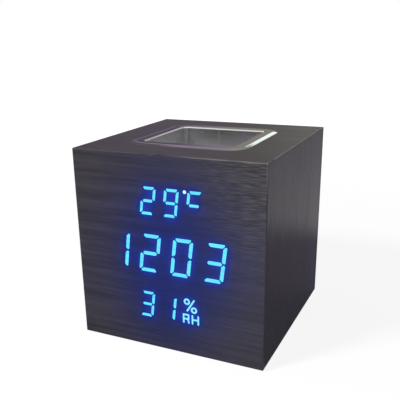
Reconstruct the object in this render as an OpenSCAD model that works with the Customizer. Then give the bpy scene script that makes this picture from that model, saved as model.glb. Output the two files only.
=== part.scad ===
// Cube-shaped wooden desk clock with a chrome pen cup let into its top.
// A leaning seven-segment display shines out of the front in three rows: temperature, time, humidity.
// Millimetres, +Z up, front towards -Y, origin at the bottom centre, under the foot pads.

/* [Case] */
// Width of the wooden case, left to right
case_w = 100; // [96:1:130]
// Depth of the wooden case, front to back
case_d = 100; // [96:1:130]
// Height of the wooden case, without its foot pads
case_h = 100; // [88:1:130]
// Thickness of the case boards
board_t = 6; // [5:0.5:7]
// Thickness of the veneer over the front board
veneer_t = 0.5; // [0.3:0.1:1]
// Rounding of the outer edges of the case
edge_r = 0.6; // [0.3:0.1:1.5]

/* [Pen cup] */
// Side of the square mouth
cup_mouth = 48.4; // [40:0.2:52]
// Corner radius of the mouth
cup_mouth_r = 2.8; // [2.2:0.1:6]
// Width of the flat band around the mouth
cup_flat = 5.2; // [3:0.1:6]
// Width of the bevel that falls from the flat band to the wood
cup_bevel = 2; // [1:0.1:4]
// Height of the flat band above the wood
cup_rise = 0.55; // [0.4:0.05:2]
// Rounding of the inner edge of the mouth
cup_lip_r = 1; // [0.4:0.1:1.5]
// Thickness of the cup's wall
cup_wall = 1.6; // [1.2:0.1:2.4]
// Height of the cup's floor above the bottom of the case
cup_floor_rise = 25; // [23:0.5:50]
// How far each wall draws in between the mouth and the floor
cup_draft = 1; // [0.4:0.1:1.8]
// Thickness of the cup's floor
cup_floor = 2; // [1.2:0.1:3]
// Clearance between the cup and its opening in the top board
cup_clear = 0.3; // [0.1:0.05:0.6]

/* [Display] */
// Hours and minutes that are lit
time_digits = [1, 2, 0, 3]; // [0:1:9]
// Degrees that are lit
temperature_digits = [2, 9]; // [0:1:9]
// Per cent of humidity that is lit
humidity_digits = [3, 1]; // [0:1:9]
// Height of a time digit
time_h = 19.6; // [15:0.2:21]
// Width of a time digit
time_w = 10.5; // [8:0.1:12]
// Stroke of a time digit
time_stroke = 1.85; // [1.2:0.05:2.4]
// Distance between the middles of neighbouring time digits
time_pitch = 17; // [15:0.1:18]
// Height of a small digit
small_h = 14; // [10:0.2:15]
// Width of a small digit
small_w = 7.8; // [6:0.1:8.6]
// Stroke of a small digit
small_stroke = 1.6; // [1.2:0.05:2]
// Distance between the middles of neighbouring small digits
small_pitch = 12; // [11:0.1:13]
// Height of the time row above the middle of the front
time_rise = 1; // [-2:0.1:3]
// Distance of the temperature row below the top of the case
temperature_drop = 22.5; // [21:0.1:27]
// Height of the humidity row above the bottom of the case
humidity_rise = 23.5; // [22:0.1:29]
// Place of the first temperature digit, right of the middle
temperature_x = -8.6; // [-14:0.1:-4]
// Place of the first humidity digit, right of the middle
humidity_x = -11.1; // [-14:0.1:-6]
// Lean of the digits to the right, in degrees
digit_lean = 7; // [0:0.5:12]
// Gap between neighbouring segments
segment_gap = 0.55; // [0.2:0.05:0.7]
// Diameter of the degree dot and of the two colon dots
dot_d = 1.7; // [1.2:0.1:2.2]
// Height of the upper colon dot above the middle of the time row
colon_rise = 3.9; // [2.4:0.1:5]
// Shift of the degree dot to the right of the middle between its digits
degree_dot_shift = 0.6; // [0:0.1:0.8]
// Width of the light well behind the humidity sign
sign_w = 10.4; // [6:0.1:11]
// Height of the light well behind the humidity sign
sign_h = 15.2; // [8:0.1:16]
// Band of reflector housing around the digits
housing_margin = 2; // [1.5:0.1:2.6]
// Clearance between the housing and its window in the front board
housing_clear = 0.2; // [0.1:0.05:0.5]
// Side of a light-emitting chip
led_side = 1; // [0.6:0.1:1.1]
// Height of a light-emitting chip
led_h = 0.5; // [0.3:0.1:0.8]
// Space between the display board and the light guides
led_room = 0.9; // [0.8:0.1:1.5]

/* [Circuit boards] */
// Thickness of both circuit boards
pcb_t = 1.6; // [1:0.2:2]
// Lap of the display board on the back of the front board
pcb_lap = 5; // [4.8:0.1:5.5]
// Width of the key board
key_board_w = 76; // [70:1:80]
// Height of the key board
key_board_h = 36; // [34:1:44]
// Height of the key board's lower edge above the bottom of the case
key_board_rise = 20; // [18:0.5:24]
// Distance from the edges of the key board to the middle of its screws
key_screw_inset = 3.4; // [3:0.1:4]

/* [Screws and spacers] */
// Diameter of the circuit board screws
pcb_screw_d = 2.4; // [2:0.1:2.8]
// Head diameter of the circuit board screws
pcb_screw_head_d = 4.6; // [4:0.1:5]
// Head height of the circuit board screws
pcb_screw_head_h = 1.7; // [1.2:0.1:2.2]
// Reach of the circuit board screws into the wood
pcb_screw_reach = 3.6; // [2.5:0.1:4]
// Outer diameter of the spacer tubes behind the key board
spacer_d = 5.6; // [5:0.1:6.4]
// Diameter of the base screws
base_screw_d = 3; // [2.5:0.1:3.5]
// Head diameter of the base screws
base_screw_head_d = 6; // [5.2:0.1:6.6]
// Length of the base screws
base_screw_l = 13; // [10:0.5:14]
// Clearance around every screw
screw_clear = 0.1; // [0.05:0.05:0.3]

/* [Buttons] */
// Diameter of a button cap
button_d = 7; // [6:0.1:8]
// Distance between the middles of the buttons
button_pitch = 14; // [12:0.5:17]
// Height of the buttons above the bottom of the case
button_rise = 47; // [46:0.5:50]
// Depth of the cap's face below the back of the case
button_recess = 0.4; // [0.2:0.1:1]
// Travel of a button
button_travel = 0.6; // [0.3:0.1:0.8]
// Clearance around a button cap
button_clear = 0.2; // [0.15:0.05:0.3]
// Width of the finger dish around a button
button_dish = 1.2; // [0.6:0.1:1.6]
// Crown height of a button's face
button_crown = 0.3; // [0.1:0.1:0.3]
// Diameter of the collar that keeps the cap in
collar_d = 9.4; // [8.8:0.1:10]
// Thickness of that collar
collar_t = 1; // [0.8:0.1:1.5]
// Side of a key switch
switch_side = 6; // [5:0.1:6.5]
// Height of a key switch
switch_h = 3.5; // [3:0.1:4.5]
// Diameter of a switch plunger
plunger_d = 3.4; // [2.6:0.1:3.6]
// Height of a plunger above its switch
plunger_h = 1.5; // [1.2:0.1:2]
// Depth of a plunger inside its switch at rest
plunger_root = 0.8; // [0.6:0.1:1]

/* [Power inlet, buzzer and sensor] */
// Width of the power socket's shell
socket_w = 7.6; // [7:0.1:9]
// Height of the power socket's shell
socket_h = 2.8; // [2.4:0.1:3.4]
// Thickness of the power socket's sheet metal
socket_sheet = 0.3; // [0.2:0.05:0.4]
// Width of the plug opening in the back board
plug_w = 12; // [11:0.2:14]
// Height of the plug opening in the back board
plug_h = 8; // [7:0.2:9]
// Corner radius of the plug opening
plug_r = 2; // [0.5:0.1:3]
// Height of the power socket above the bottom of the case
socket_rise = 28; // [27:0.5:32]
// Diameter of the buzzer
buzzer_d = 12; // [9:0.1:13]
// Height of the buzzer
buzzer_h = 5.4; // [4:0.1:5.6]
// Diameter of the buzzer's sound hole
buzzer_hole_d = 2; // [1.5:0.1:3]
// Width of the climate sensor
sensor_w = 12; // [10:0.1:13]
// Height of the climate sensor along the board
sensor_h = 14; // [12:0.1:15]
// Thickness of the climate sensor
sensor_t = 5; // [4:0.1:5.6]
// Number of slots in the climate sensor's cover
sensor_slots = 4; // [3:1:5]
// Distance of the buzzer and of the sensor from the middle
side_part_x = 21; // [20:0.5:23]
// Height of the buzzer and of the sensor above the bottom of the case
side_part_rise = 31; // [30:0.5:33]
// Diameter of a vent hole in the back board
vent_d = 1.6; // [1.2:0.1:2]
// Radius of the ring of vent holes
vent_ring_r = 3.4; // [2.8:0.1:4]
// Number of vent holes in a ring
vent_count = 6; // [5:1:8]

/* [Battery bay] */
// Diameter of a cell
cell_d = 10.5; // [9:0.1:11]
// Length of a cell over its nub
cell_l = 44.5; // [40:0.5:46]
// Diameter of a cell's nub
nub_d = 3.8; // [3:0.1:5.5]
// Height of a cell's nub
nub_h = 1; // [0.8:0.1:2]
// Clearance around the cells
cell_clear = 0.6; // [0.3:0.1:0.8]
// Length of a pressed contact spring
spring_l = 6; // [5:0.5:7]
// Outer diameter of a contact spring
spring_d = 6; // [5:0.1:8]
// Wire of a contact spring
spring_wire = 0.6; // [0.4:0.05:0.7]
// Turns of a contact spring
spring_turns = 4; // [3:1:4]
// Thickness of the contact plates
contact_t = 0.5; // [0.3:0.05:0.7]
// Height of the contact plates
contact_h = 8; // [6:0.1:9]
// Width of a solder tab
tab_w = 3; // [2:0.1:4]
// Height of a solder tab above the bay
tab_h = 3; // [2.4:0.1:3.2]
// Clearance around a solder tab in the roof of the bay
tab_clear = 0.15; // [0.1:0.05:0.3]
// Wall and roof of the battery bay
bay_wall = 1.6; // [1.2:0.1:2]

/* [Base and door] */
// Thickness of the base plate
base_t = 4.4; // [4.2:0.1:5]
// Clearance between the base plate and the case
base_clear = 0.3; // [0.2:0.05:0.5]
// Width of the wooden cleats that carry the base
cleat_w = 9; // [8:0.5:10]
// Height of the wooden cleats
cleat_h = 12; // [11.5:0.5:14]
// Length of the wooden cleats
cleat_l = 60; // [50:1:64]
// Distance from the end of a cleat to its screw
cleat_screw_inset = 8; // [6:0.5:12]
// Thickness of the battery door
door_t = 2.6; // [2.4:0.1:2.8]
// Lap of the battery door over the edge of the bay
door_lap = 1.6; // [1.6:0.1:3]
// Clearance around the battery door
door_clear = 0.3; // [0.2:0.05:0.4]
// Diameter of the door's hinge pins
hinge_pin_d = 1.6; // [1.2:0.1:1.7]
// Length of the door's hinge pins
hinge_pin_l = 2.2; // [1.6:0.1:3]
// Clearance around a hinge pin
hinge_fit = 0.05; // [0.03:0.01:0.1]
// Radius of the finger notch in front of the door
notch_r = 8; // [5:0.5:10]
// Number of grip grooves on the door
grip_count = 4; // [2:1:5]
// Distance between the grip grooves
grip_pitch = 2.4; // [2:0.1:3]
// Width of a grip groove
grip_w = 1; // [0.6:0.1:1.4]
// Length of a grip groove
grip_l = 16; // [10:1:24]
// Depth of a grip groove
grip_depth = 0.5; // [0.3:0.1:0.8]
// Diameter of a foot pad
pad_d = 10; // [8:0.5:12]
// Thickness of a foot pad
pad_t = 1.2; // [0.8:0.1:1.6]
// How far the foot pads stand out below the case
pad_proud = 0.5; // [0.3:0.1:0.7]
// Distance from the edge of the base plate to the middle of a foot pad
pad_inset = 8; // [7:0.5:10]

/* [Wiring] */
// Width of the ribbon cable
ribbon_w = 7; // [5:0.5:9]
// Thickness of the ribbon cable
ribbon_t = 0.9; // [0.6:0.1:1.2]
// Bend radius of the ribbon cable at its middle
ribbon_bend = 2; // [1.5:0.1:2.5]
// Width of a ribbon connector
plug_body_w = 10; // [9.5:0.1:12]
// Height of a ribbon connector
plug_body_h = 6; // [4:0.1:7]
// Depth of a ribbon connector
plug_body_d = 5; // [4:0.1:6]
// Diameter of a battery lead
lead_d = 1.5; // [1.2:0.1:1.8]
// Bend radius of a battery lead
lead_bend = 2.5; // [2:0.1:3]
// Rise of a battery lead from the bay to the key board
lead_rise = 7; // [6.5:0.1:8]

/* [Clock chip and crystal] */
// Length of the clock chip
clock_chip_l = 18; // [12:0.5:22]
// Width of the clock chip's body
clock_chip_w = 7.5; // [5:0.1:8]
// Height of the clock chip
clock_chip_h = 2.3; // [1.6:0.1:3]
// Legs on each side of the clock chip
clock_chip_legs = 14; // [8:1:16]
// Spread of the legs beyond the chip's body
clock_chip_leg = 1.4; // [1:0.1:2]
// Height of the clock chip above the middle of the front
clock_chip_rise = 12; // [6:1:20]
// Diameter of the crystal's can
crystal_d = 3; // [2:0.1:3.4]
// Length of the crystal's can
crystal_l = 8; // [6:0.1:10]
// Distance between the clock chip and the crystal
crystal_gap = 3; // [2:0.5:6]

/* [Hidden] */
$fn = 48;

// Colours
WOOD = "#3a383b";
MDF = "#8a6b4a";
CHROME = "#c9ccd1";
PLASTIC = "#1c1c1e";
REFLECTOR = "#e8e8e4";
GLOW = "#5fd8ff";
RESIN = "#f4f6f2";
PCB = "#1f5a3a";
STEEL = "#a9adb3";
RUBBER = "#26262a";

// Overrun of a cut past the face that it opens
cut = 1;

// Levels and faces
bottom_z = pad_proud;
top_z = bottom_z + case_h;
front_y = -case_d / 2;
back_y = case_d / 2;
veneer_back_y = front_y + veneer_t;
front_in_y = front_y + board_t;
back_in_y = back_y - board_t;
inner_half_w = case_w / 2 - board_t;
inner_half_d = case_d / 2 - board_t;

// Pen cup: the sweep's corner axes stand cup_axis from the middle, and radii are taken from there
cup_axis = cup_mouth / 2 - cup_mouth_r;
cup_flange_r = cup_mouth_r + cup_flat + cup_bevel;
cup_floor_r = cup_mouth_r - cup_draft;
cup_depth = case_h - cup_floor_rise;
cup_under_z = bottom_z + cup_floor_rise - cup_floor;

// Display
time_z = bottom_z + case_h / 2 + time_rise;
temperature_z = top_z - temperature_drop;
humidity_z = bottom_z + humidity_rise;
time_x = -(len(time_digits) - 1) / 2 * time_pitch;
lean = tan(digit_lean);
end_gap = segment_gap / sqrt(2);
tip_share = 0.3;
corner_share = 0.25;
SEGMENTS = ["a", "b", "c", "d", "e", "f", "g"];
NUMERALS = ["abcdef", "bc", "abdeg", "abcdg", "bcfg", "acdfg", "acdefg", "abc", "abcdefg", "abcdfg"];
DEGREE_LETTER = "afg";
time_shown = [for (n = time_digits) NUMERALS[n]];
temperature_shown = concat([for (n = temperature_digits) NUMERALS[n]], [DEGREE_LETTER]);
humidity_shown = [for (n = humidity_digits) NUMERALS[n]];
degree_dot_rise = small_h / 2 - dot_d / 2;
degree_dot_x = temperature_x + (len(temperature_digits) - 0.5) * small_pitch
    + degree_dot_rise * lean + degree_dot_shift;
sign_x = humidity_x + len(humidity_digits) * small_pitch;
housing_half_w = time_pitch * (len(time_digits) - 1) / 2 + time_w / 2 + lean * time_h / 2 + housing_margin;
housing_top_z = temperature_z + small_h / 2 + housing_margin;
housing_bottom_z = humidity_z - max(small_h, sign_h) / 2 - housing_margin;
housing_mid_z = (housing_top_z + housing_bottom_z) / 2;
housing_h = housing_top_z - housing_bottom_z;
window_w = 2 * (housing_half_w + housing_clear);
window_h = housing_h + 2 * housing_clear;
guide_back_y = front_in_y - led_room;
display_back_y = front_in_y + pcb_t;
display_screw_x = housing_half_w + pcb_lap / 2;
display_screw_rise = housing_h / 2 + pcb_lap / 2;

// Screw holes
pcb_screw_hole_d = pcb_screw_d + 2 * screw_clear;
base_screw_hole_d = base_screw_d + 2 * screw_clear;

// Key board, counted inwards from the back board
button_slack = 0.2;
collar_out_y = back_in_y - button_slack;
collar_in_y = collar_out_y - collar_t;
switch_out_y = collar_in_y - plunger_h;
key_face_y = switch_out_y - switch_h;
key_back_y = key_face_y - pcb_t;
key_depth = back_in_y - key_face_y;
key_board_z = bottom_z + key_board_rise;
key_mid_z = key_board_z + key_board_h / 2;
button_z = bottom_z + button_rise;
socket_z = bottom_z + socket_rise;
side_part_z = bottom_z + side_part_rise;
key_screw_x = key_board_w / 2 - key_screw_inset;
key_screw_rise = key_board_h / 2 - key_screw_inset;
socket_l = key_depth - button_slack;
socket_tongue_h = 0.6;
socket_tongue_w = socket_w / 2;
socket_step = socket_h * 0.4;
plunger_clear = button_clear;
sensor_slot_pitch = sensor_h / (sensor_slots + 1);
sensor_slot_h = sensor_slot_pitch / 2;
sensor_slot_depth = sensor_t / 2;
buzzer_hole_depth = buzzer_h / 2;

// Battery bay and base
base_top_z = bottom_z + base_t;
cell_pitch = cell_d + cell_clear;
CELL_ROWS = [-1, 0, 1];
bay_l = cell_l + spring_l + 2 * contact_t;
bay_w = len(CELL_ROWS) * cell_pitch + cell_clear;
door_in_z = bottom_z + door_t;
cell_z = door_in_z + cell_clear + cell_d / 2;
bay_in_z = cell_z + cell_d / 2 + cell_clear;
bay_top_z = bay_in_z + bay_wall;
contact_x = bay_l / 2 - contact_t;
tab_top_z = bay_top_z + tab_h;
door_seat_z = door_in_z + door_clear / 2;
door_half_w = bay_l / 2 + door_lap;
door_half_d = bay_w / 2 + door_lap;
hinge_r = door_t / 2;
hinge_y = door_half_d - hinge_r;
hinge_z = bottom_z + hinge_r;
base_half_w = inner_half_w - base_clear;
base_half_d = inner_half_d - base_clear;
base_screw_x = inner_half_w - cleat_w / 2;
base_screw_y = cleat_l / 2 - cleat_screw_inset;
base_screw_head_h = (base_screw_head_d - base_screw_d) / 2;
pad_x = base_half_w - pad_inset;
pad_y = base_half_d - pad_inset;

// Contact spring: rings per turn and sides of its wire
SPRING_RINGS = 8;
SPRING_SIDES = 6;
spring_r = (spring_d - spring_wire) / 2;
spring_run = spring_l - 2 * spring_wire;

// Wiring
ribbon_z = (bay_top_z + cup_under_z) / 2;
connector_z = ribbon_z + ribbon_bend + ribbon_t;
ribbon_front_y = display_back_y + plug_body_d / 2;
ribbon_back_y = key_back_y - plug_body_d / 2;
lead_z = bay_top_z + tab_h / 2;
lead_turn_y = key_back_y - lead_bend - lead_d;
lead_x = contact_x + contact_t / 2;

// Clock chip
clock_chip_z = time_z + clock_chip_rise;
clock_chip_leg_t = 0.3;
clock_chip_leg_pitch = clock_chip_l / clock_chip_legs;
crystal_z = clock_chip_z - clock_chip_w / 2 - clock_chip_leg - crystal_gap;

// Outlines and extrusions

// Vector of length 1
function unit(v) = v / norm(v);

// Rectangle about the origin with round corners
module round_rect(w, h, r) {
    square([w - 2 * r, h], center = true);
    square([w, h - 2 * r], center = true);
    for (sx = [-1, 1], sy = [-1, 1])
        translate([sx * (w / 2 - r), sy * (h / 2 - r)])
            circle(r);
}

// Extrudes an outline in X and Z through the depth from y0 to y1
module through_y(y0, y1) {
    translate([0, y1, 0])
        rotate([90, 0, 0])
            linear_extrude(y1 - y0)
                children();
}

// Extrudes an outline in Y and Z over a width centred on X
module across_x(w) {
    rotate([90, 0, 90])
        linear_extrude(w, center = true)
            children();
}

// Round bar along Y from y0 to y1
module bar_y(d, y0, y1) {
    translate([0, y0, 0])
        rotate([-90, 0, 0])
            cylinder(d = d, h = y1 - y0);
}

// Places children at the four corners of a rectangle
module at_corners(x, y) {
    for (sx = [-1, 1], sy = [-1, 1])
        translate([sx * x, sy * y])
            children();
}

// Wooden case

// Whole outer block of the case with its rounded edges
module case_block() {
    intersection() {
        translate([0, 0, bottom_z])
            linear_extrude(case_h)
                round_rect(case_w, case_d, edge_r);
        translate([0, 0, bottom_z + case_h / 2])
            through_y(front_y, back_y)
                round_rect(case_w, case_h, edge_r);
        translate([0, 0, bottom_z + case_h / 2])
            across_x(case_w)
                round_rect(case_d, case_h, edge_r);
    }
}

// Space of an upright board facing -Y, mitred to its neighbours left, right and above
module wall_space(across, along) {
    intersection() {
        linear_extrude(top_z + cut)
            polygon([
                [-across / 2, -along / 2],
                [across / 2, -along / 2],
                [across / 2 - board_t, board_t - along / 2],
                [board_t - across / 2, board_t - along / 2]
            ]);
        across_x(across)
            polygon([
                [-along / 2, 0],
                [board_t - along / 2, 0],
                [board_t - along / 2, top_z - board_t],
                [-along / 2, top_z]
            ]);
    }
}

// Space of the top board, mitred on all four sides
module lid_space() {
    intersection() {
        through_y(front_y, back_y)
            polygon([
                [-case_w / 2, top_z],
                [case_w / 2, top_z],
                [inner_half_w, top_z - board_t],
                [-inner_half_w, top_z - board_t]
            ]);
        across_x(case_w)
            polygon([
                [-case_d / 2, top_z],
                [case_d / 2, top_z],
                [inner_half_d, top_z - board_t],
                [-inner_half_d, top_z - board_t]
            ]);
    }
}

module front_panel() {
    color(MDF)
        difference() {
            intersection() {
                case_block();
                wall_space(case_w, case_d);
                translate([0, 0, top_z / 2])
                    through_y(veneer_back_y, front_in_y)
                        square([case_w, top_z], center = true);
            }
            through_y(front_y - cut, front_in_y + cut)
                translate([0, housing_mid_z])
                    square([window_w, window_h], center = true);
            translate([0, 0, housing_mid_z])
                display_screw_places()
                    bar_y(pcb_screw_hole_d, front_in_y - pcb_screw_reach - screw_clear, front_in_y + cut);
        }
}

module front_veneer() {
    color(WOOD)
        difference() {
            intersection() {
                case_block();
                wall_space(case_w, case_d);
                translate([0, 0, top_z / 2])
                    through_y(front_y, veneer_back_y)
                        square([case_w, top_z], center = true);
            }
            through_y(front_y - cut, veneer_back_y + cut)
                all_rows(true);
        }
}

module left_panel() {
    color(WOOD)
        intersection() {
            case_block();
            rotate([0, 0, -90])
                wall_space(case_d, case_w);
        }
}

module right_panel() {
    color(WOOD)
        intersection() {
            case_block();
            rotate([0, 0, 90])
                wall_space(case_d, case_w);
        }
}

module back_panel() {
    color(WOOD)
        difference() {
            intersection() {
                case_block();
                rotate([0, 0, 180])
                    wall_space(case_w, case_d);
            }
            at_buttons()
                button_hole();
            translate([0, 0, socket_z])
                through_y(back_in_y - cut, back_y + cut)
                    round_rect(plug_w, plug_h, plug_r);
            for (side = [-1, 1])
                translate([side * side_part_x, 0, side_part_z])
                    vent();
            translate([0, 0, key_mid_z])
                key_screw_places()
                    bar_y(pcb_screw_hole_d, back_in_y - cut, back_in_y + pcb_screw_reach + screw_clear);
        }
}

// Hole for a button cap, dished on the outside for a fingertip
module button_hole() {
    hole_r = button_d / 2 + button_clear;
    bar_y(2 * hole_r, back_in_y - cut, back_y + cut);
    translate([0, back_y - button_dish, 0])
        rotate([-90, 0, 0])
            cylinder(r1 = hole_r, r2 = hole_r + button_dish + cut, h = button_dish + cut);
}

// Ring of sound and air holes round a middle one
module vent() {
    bar_y(vent_d, back_in_y - cut, back_y + cut);
    for (i = [0 : vent_count - 1])
        rotate([0, i * 360 / vent_count, 0])
            translate([vent_ring_r, 0, 0])
                bar_y(vent_d, back_in_y - cut, back_y + cut);
}

module top_panel() {
    opening_r = cup_mouth_r + cup_wall + cup_clear;
    color(WOOD)
        difference() {
            intersection() {
                case_block();
                lid_space();
            }
            translate([0, 0, top_z - board_t - cut])
                linear_extrude(board_t + 2 * cut)
                    round_rect(2 * (cup_axis + opening_r), 2 * (cup_axis + opening_r), opening_r);
        }
}

// Pen cup

// Section of the cup's wall and rim: first value outwards from a corner axis, second up from the wood
module cup_section() {
    difference() {
        polygon([
            [cup_floor_r, -cup_depth - cup_floor],
            [cup_floor_r + cup_wall, -cup_depth - cup_floor],
            [cup_mouth_r + cup_wall, 0],
            [cup_flange_r, 0],
            [cup_flange_r - cup_bevel, cup_rise],
            [cup_mouth_r, cup_rise],
            [cup_mouth_r, cup_rise - cup_lip_r],
            [cup_floor_r, -cup_depth]
        ]);
        translate([cup_mouth_r, cup_rise - cup_lip_r])
            difference() {
                square(cup_lip_r + cup_rise);
                translate([cup_lip_r, 0])
                    circle(cup_lip_r);
                translate([cup_lip_r, -cup_lip_r])
                    square(cup_rise + 2 * cup_lip_r);
            }
    }
}

// Carries a section round a square with round corners
module sweep_square(axis) {
    for (turn = [0 : 3])
        rotate([0, 0, 90 * turn]) {
            translate([axis, axis, 0])
                rotate_extrude(angle = 90)
                    children();
            translate([axis, axis, 0])
                rotate([90, 0, 0])
                    linear_extrude(2 * axis)
                        children();
        }
}

module pen_cup() {
    floor_side = 2 * (cup_axis + cup_floor_r);
    color(CHROME) {
        translate([0, 0, top_z])
            sweep_square(cup_axis)
                cup_section();
        translate([0, 0, cup_under_z])
            linear_extrude(cup_floor)
                round_rect(floor_side, floor_side, cup_floor_r);
    }
}

// Display

// Bar along the top of a digit, mitred at both ends with its sharp tips taken off
function end_bar(w, h, t) = let (x = w / 2 - end_gap, z = h / 2, c = t * tip_share) [
    [-x + 2 * c, z], [x - 2 * c, z], [x - c, z - c], [x - t, z - t], [t - x, z - t], [c - x, z - c]
];

// Bar down the upper right of a digit, mitred above and pointed below
function side_bar(w, h, t) = let (x = w / 2, z = h / 2 - end_gap, c = t * tip_share) [
    [x, z - 2 * c], [x - c, z - c], [x - t, z - t],
    [x - t, end_gap + t / 2], [x - t / 2, end_gap], [x, end_gap]
];

// Bar across the middle of a digit, pointed at both ends
function middle_bar(w, t) = let (x = w / 2 - t / 2 - end_gap) [
    [-x, 0], [t / 2 - x, t / 2], [x - t / 2, t / 2], [x, 0], [x - t / 2, -t / 2], [t / 2 - x, -t / 2]
];

// Mirrors an outline by the given signs and leans it
function leaned(points, sx, sz) = [for (p = points) [sx * p[0] + sz * p[1] * lean, sz * p[1]]];

// Outline of one segment of a digit whose middle is at the origin
function segment(s, w, h, t) =
    s == "g" ? leaned(middle_bar(w, t), 1, 1)
    : s == "a" ? leaned(end_bar(w, h, t), 1, 1)
    : s == "d" ? leaned(end_bar(w, h, t), 1, -1)
    : leaned(side_bar(w, h, t), s == "b" || s == "c" ? 1 : -1, s == "b" || s == "f" ? 1 : -1);

// Outline with its corners cut back by as much as a rounding of radius r takes
function softened(points, r) = let (n = len(points)) [
    for (i = [0 : n - 1])
        let (
            corner = points[i],
            before = unit(points[(i + n - 1) % n] - corner),
            after = unit(points[(i + 1) % n] - corner),
            reach = r / tan(acos(before * after) / 2)
        )
        each [corner + reach * before, corner + reach * after]
];

// Middle of a list of points
function middle(points) = let (ones = [for (p = points) 1]) ones * points / len(points);

function is_lit(shown, s) = len(search(s, shown)) > 0;

// Segments of a row of digits that are lit, or that are not
module digit_row(shown, x, z, pitch, w, h, t, lit) {
    for (i = [0 : len(shown) - 1], s = SEGMENTS)
        if (is_lit(shown[i], s) == lit)
            translate([x + i * pitch, z])
                polygon(softened(segment(s, w, h, t), t * corner_share));
}

// Chip outlines in the middle of every segment of a row
module chip_row(count, x, z, pitch, w, h, t) {
    for (i = [0 : count - 1], s = SEGMENTS)
        translate([x + i * pitch, z] + middle(segment(s, w, h, t)))
            square(led_side, center = true);
}

// Chips of a row of small digits
module small_chip_row(count, x, z) {
    chip_row(count, x, z, small_pitch, small_w, small_h, small_stroke);
}

module time_row(lit) {
    digit_row(time_shown, time_x, time_z, time_pitch, time_w, time_h, time_stroke, lit);
}

// Row of small digits
module small_row(shown, x, z, lit) {
    digit_row(shown, x, z, small_pitch, small_w, small_h, small_stroke, lit);
}

module temperature_row(lit) {
    small_row(temperature_shown, temperature_x, temperature_z, lit);
}

module humidity_row(lit) {
    small_row(humidity_shown, humidity_x, humidity_z, lit);
}

module degree_dot() {
    translate([degree_dot_x, temperature_z + degree_dot_rise])
        circle(d = dot_d);
}

module colon_dots() {
    for (side = [-1, 1])
        translate([side * colon_rise * lean, time_z + side * colon_rise])
            circle(d = dot_d);
}

module sign_well() {
    translate([sign_x, humidity_z])
        square([sign_w, sign_h], center = true);
}

// Everything in the three rows that is lit, or that is not
module all_rows(lit) {
    time_row(lit);
    temperature_row(lit);
    humidity_row(lit);
    if (lit)
        degree_dot();
    else
        colon_dots();
}

module display_housing() {
    color(REFLECTOR)
        through_y(veneer_back_y, front_in_y)
            difference() {
                translate([0, housing_mid_z])
                    square([2 * housing_half_w, housing_h], center = true);
                all_rows(true);
                all_rows(false);
                sign_well();
            }
}

module time_segments() {
    color(GLOW)
        through_y(front_y, guide_back_y)
            time_row(true);
}

module temperature_segments() {
    color(GLOW)
        through_y(front_y, guide_back_y) {
            temperature_row(true);
            degree_dot();
        }
}

module humidity_segments() {
    color(GLOW)
        through_y(front_y, guide_back_y)
            humidity_row(true);
}

module sign_lens() {
    color(GLOW)
        through_y(veneer_back_y, guide_back_y)
            sign_well();
}

module idle_segments() {
    color(RESIN)
        through_y(veneer_back_y, guide_back_y)
            all_rows(false);
}

module led_chips() {
    color(RESIN)
        through_y(front_in_y - led_h, front_in_y) {
            chip_row(len(time_shown), time_x, time_z, time_pitch, time_w, time_h, time_stroke);
            small_chip_row(len(temperature_shown), temperature_x, temperature_z);
            small_chip_row(len(humidity_shown), humidity_x, humidity_z);
            for (side = [-1, 1])
                translate([sign_x, humidity_z + side * sign_h / 4])
                    square(led_side, center = true);
        }
}

// Screw places of the display board, about its middle
module display_screw_places() {
    for (sx = [-1, 1], sz = [-1, 1])
        translate([sx * display_screw_x, 0, sz * display_screw_rise])
            children();
}

module display_board() {
    color(PCB)
        translate([0, 0, housing_mid_z])
            difference() {
                through_y(front_in_y, display_back_y)
                    square([2 * (housing_half_w + pcb_lap), housing_h + 2 * pcb_lap], center = true);
                display_screw_places()
                    bar_y(pcb_screw_hole_d, front_in_y - cut, display_back_y + cut);
            }
}

// Pan-head screw that points along -Y from the face at y, or along +Y when turned
module pcb_screw(y, shank) {
    crown_d = pcb_screw_head_d - pcb_screw_head_h / 2;
    translate([0, y, 0])
        rotate([-90, 0, 0]) {
            translate([0, 0, -shank])
                cylinder(d = pcb_screw_d, h = shank);
            cylinder(d1 = pcb_screw_head_d, d2 = crown_d, h = pcb_screw_head_h);
        }
}

module display_screws() {
    color(STEEL)
        translate([0, 0, housing_mid_z])
            display_screw_places()
                pcb_screw(display_back_y, pcb_t + pcb_screw_reach);
}

module clock_chip() {
    leg_size = [
        clock_chip_leg_pitch / 2,
        clock_chip_h / 2 + clock_chip_leg_t,
        clock_chip_w + 2 * clock_chip_leg
    ];
    color(PLASTIC)
        translate([0, display_back_y, clock_chip_z]) {
            translate([-clock_chip_l / 2, clock_chip_leg_t, -clock_chip_w / 2])
                cube([clock_chip_l, clock_chip_h - clock_chip_leg_t, clock_chip_w]);
            for (i = [0 : clock_chip_legs - 1])
                translate([(i + 0.5) * clock_chip_leg_pitch - clock_chip_l / 2, leg_size[1] / 2, 0])
                    cube(leg_size, center = true);
        }
}

module crystal() {
    color(STEEL)
        translate([-crystal_l / 2, display_back_y + crystal_d / 2, crystal_z])
            rotate([0, 90, 0])
                cylinder(d = crystal_d, h = crystal_l);
}

// Key board and what it carries

module key_screw_places() {
    for (sx = [-1, 1], sz = [-1, 1])
        translate([sx * key_screw_x, 0, sz * key_screw_rise])
            children();
}

module key_board() {
    color(PCB)
        translate([0, 0, key_mid_z])
            difference() {
                through_y(key_back_y, key_face_y)
                    square([key_board_w, key_board_h], center = true);
                key_screw_places()
                    bar_y(pcb_screw_hole_d, key_back_y - cut, key_face_y + cut);
            }
}

module key_board_spacers() {
    color(RESIN)
        translate([0, 0, key_mid_z])
            key_screw_places()
                difference() {
                    bar_y(spacer_d, key_face_y, back_in_y);
                    bar_y(pcb_screw_hole_d, key_face_y - cut, back_in_y + cut);
                }
}

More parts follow.
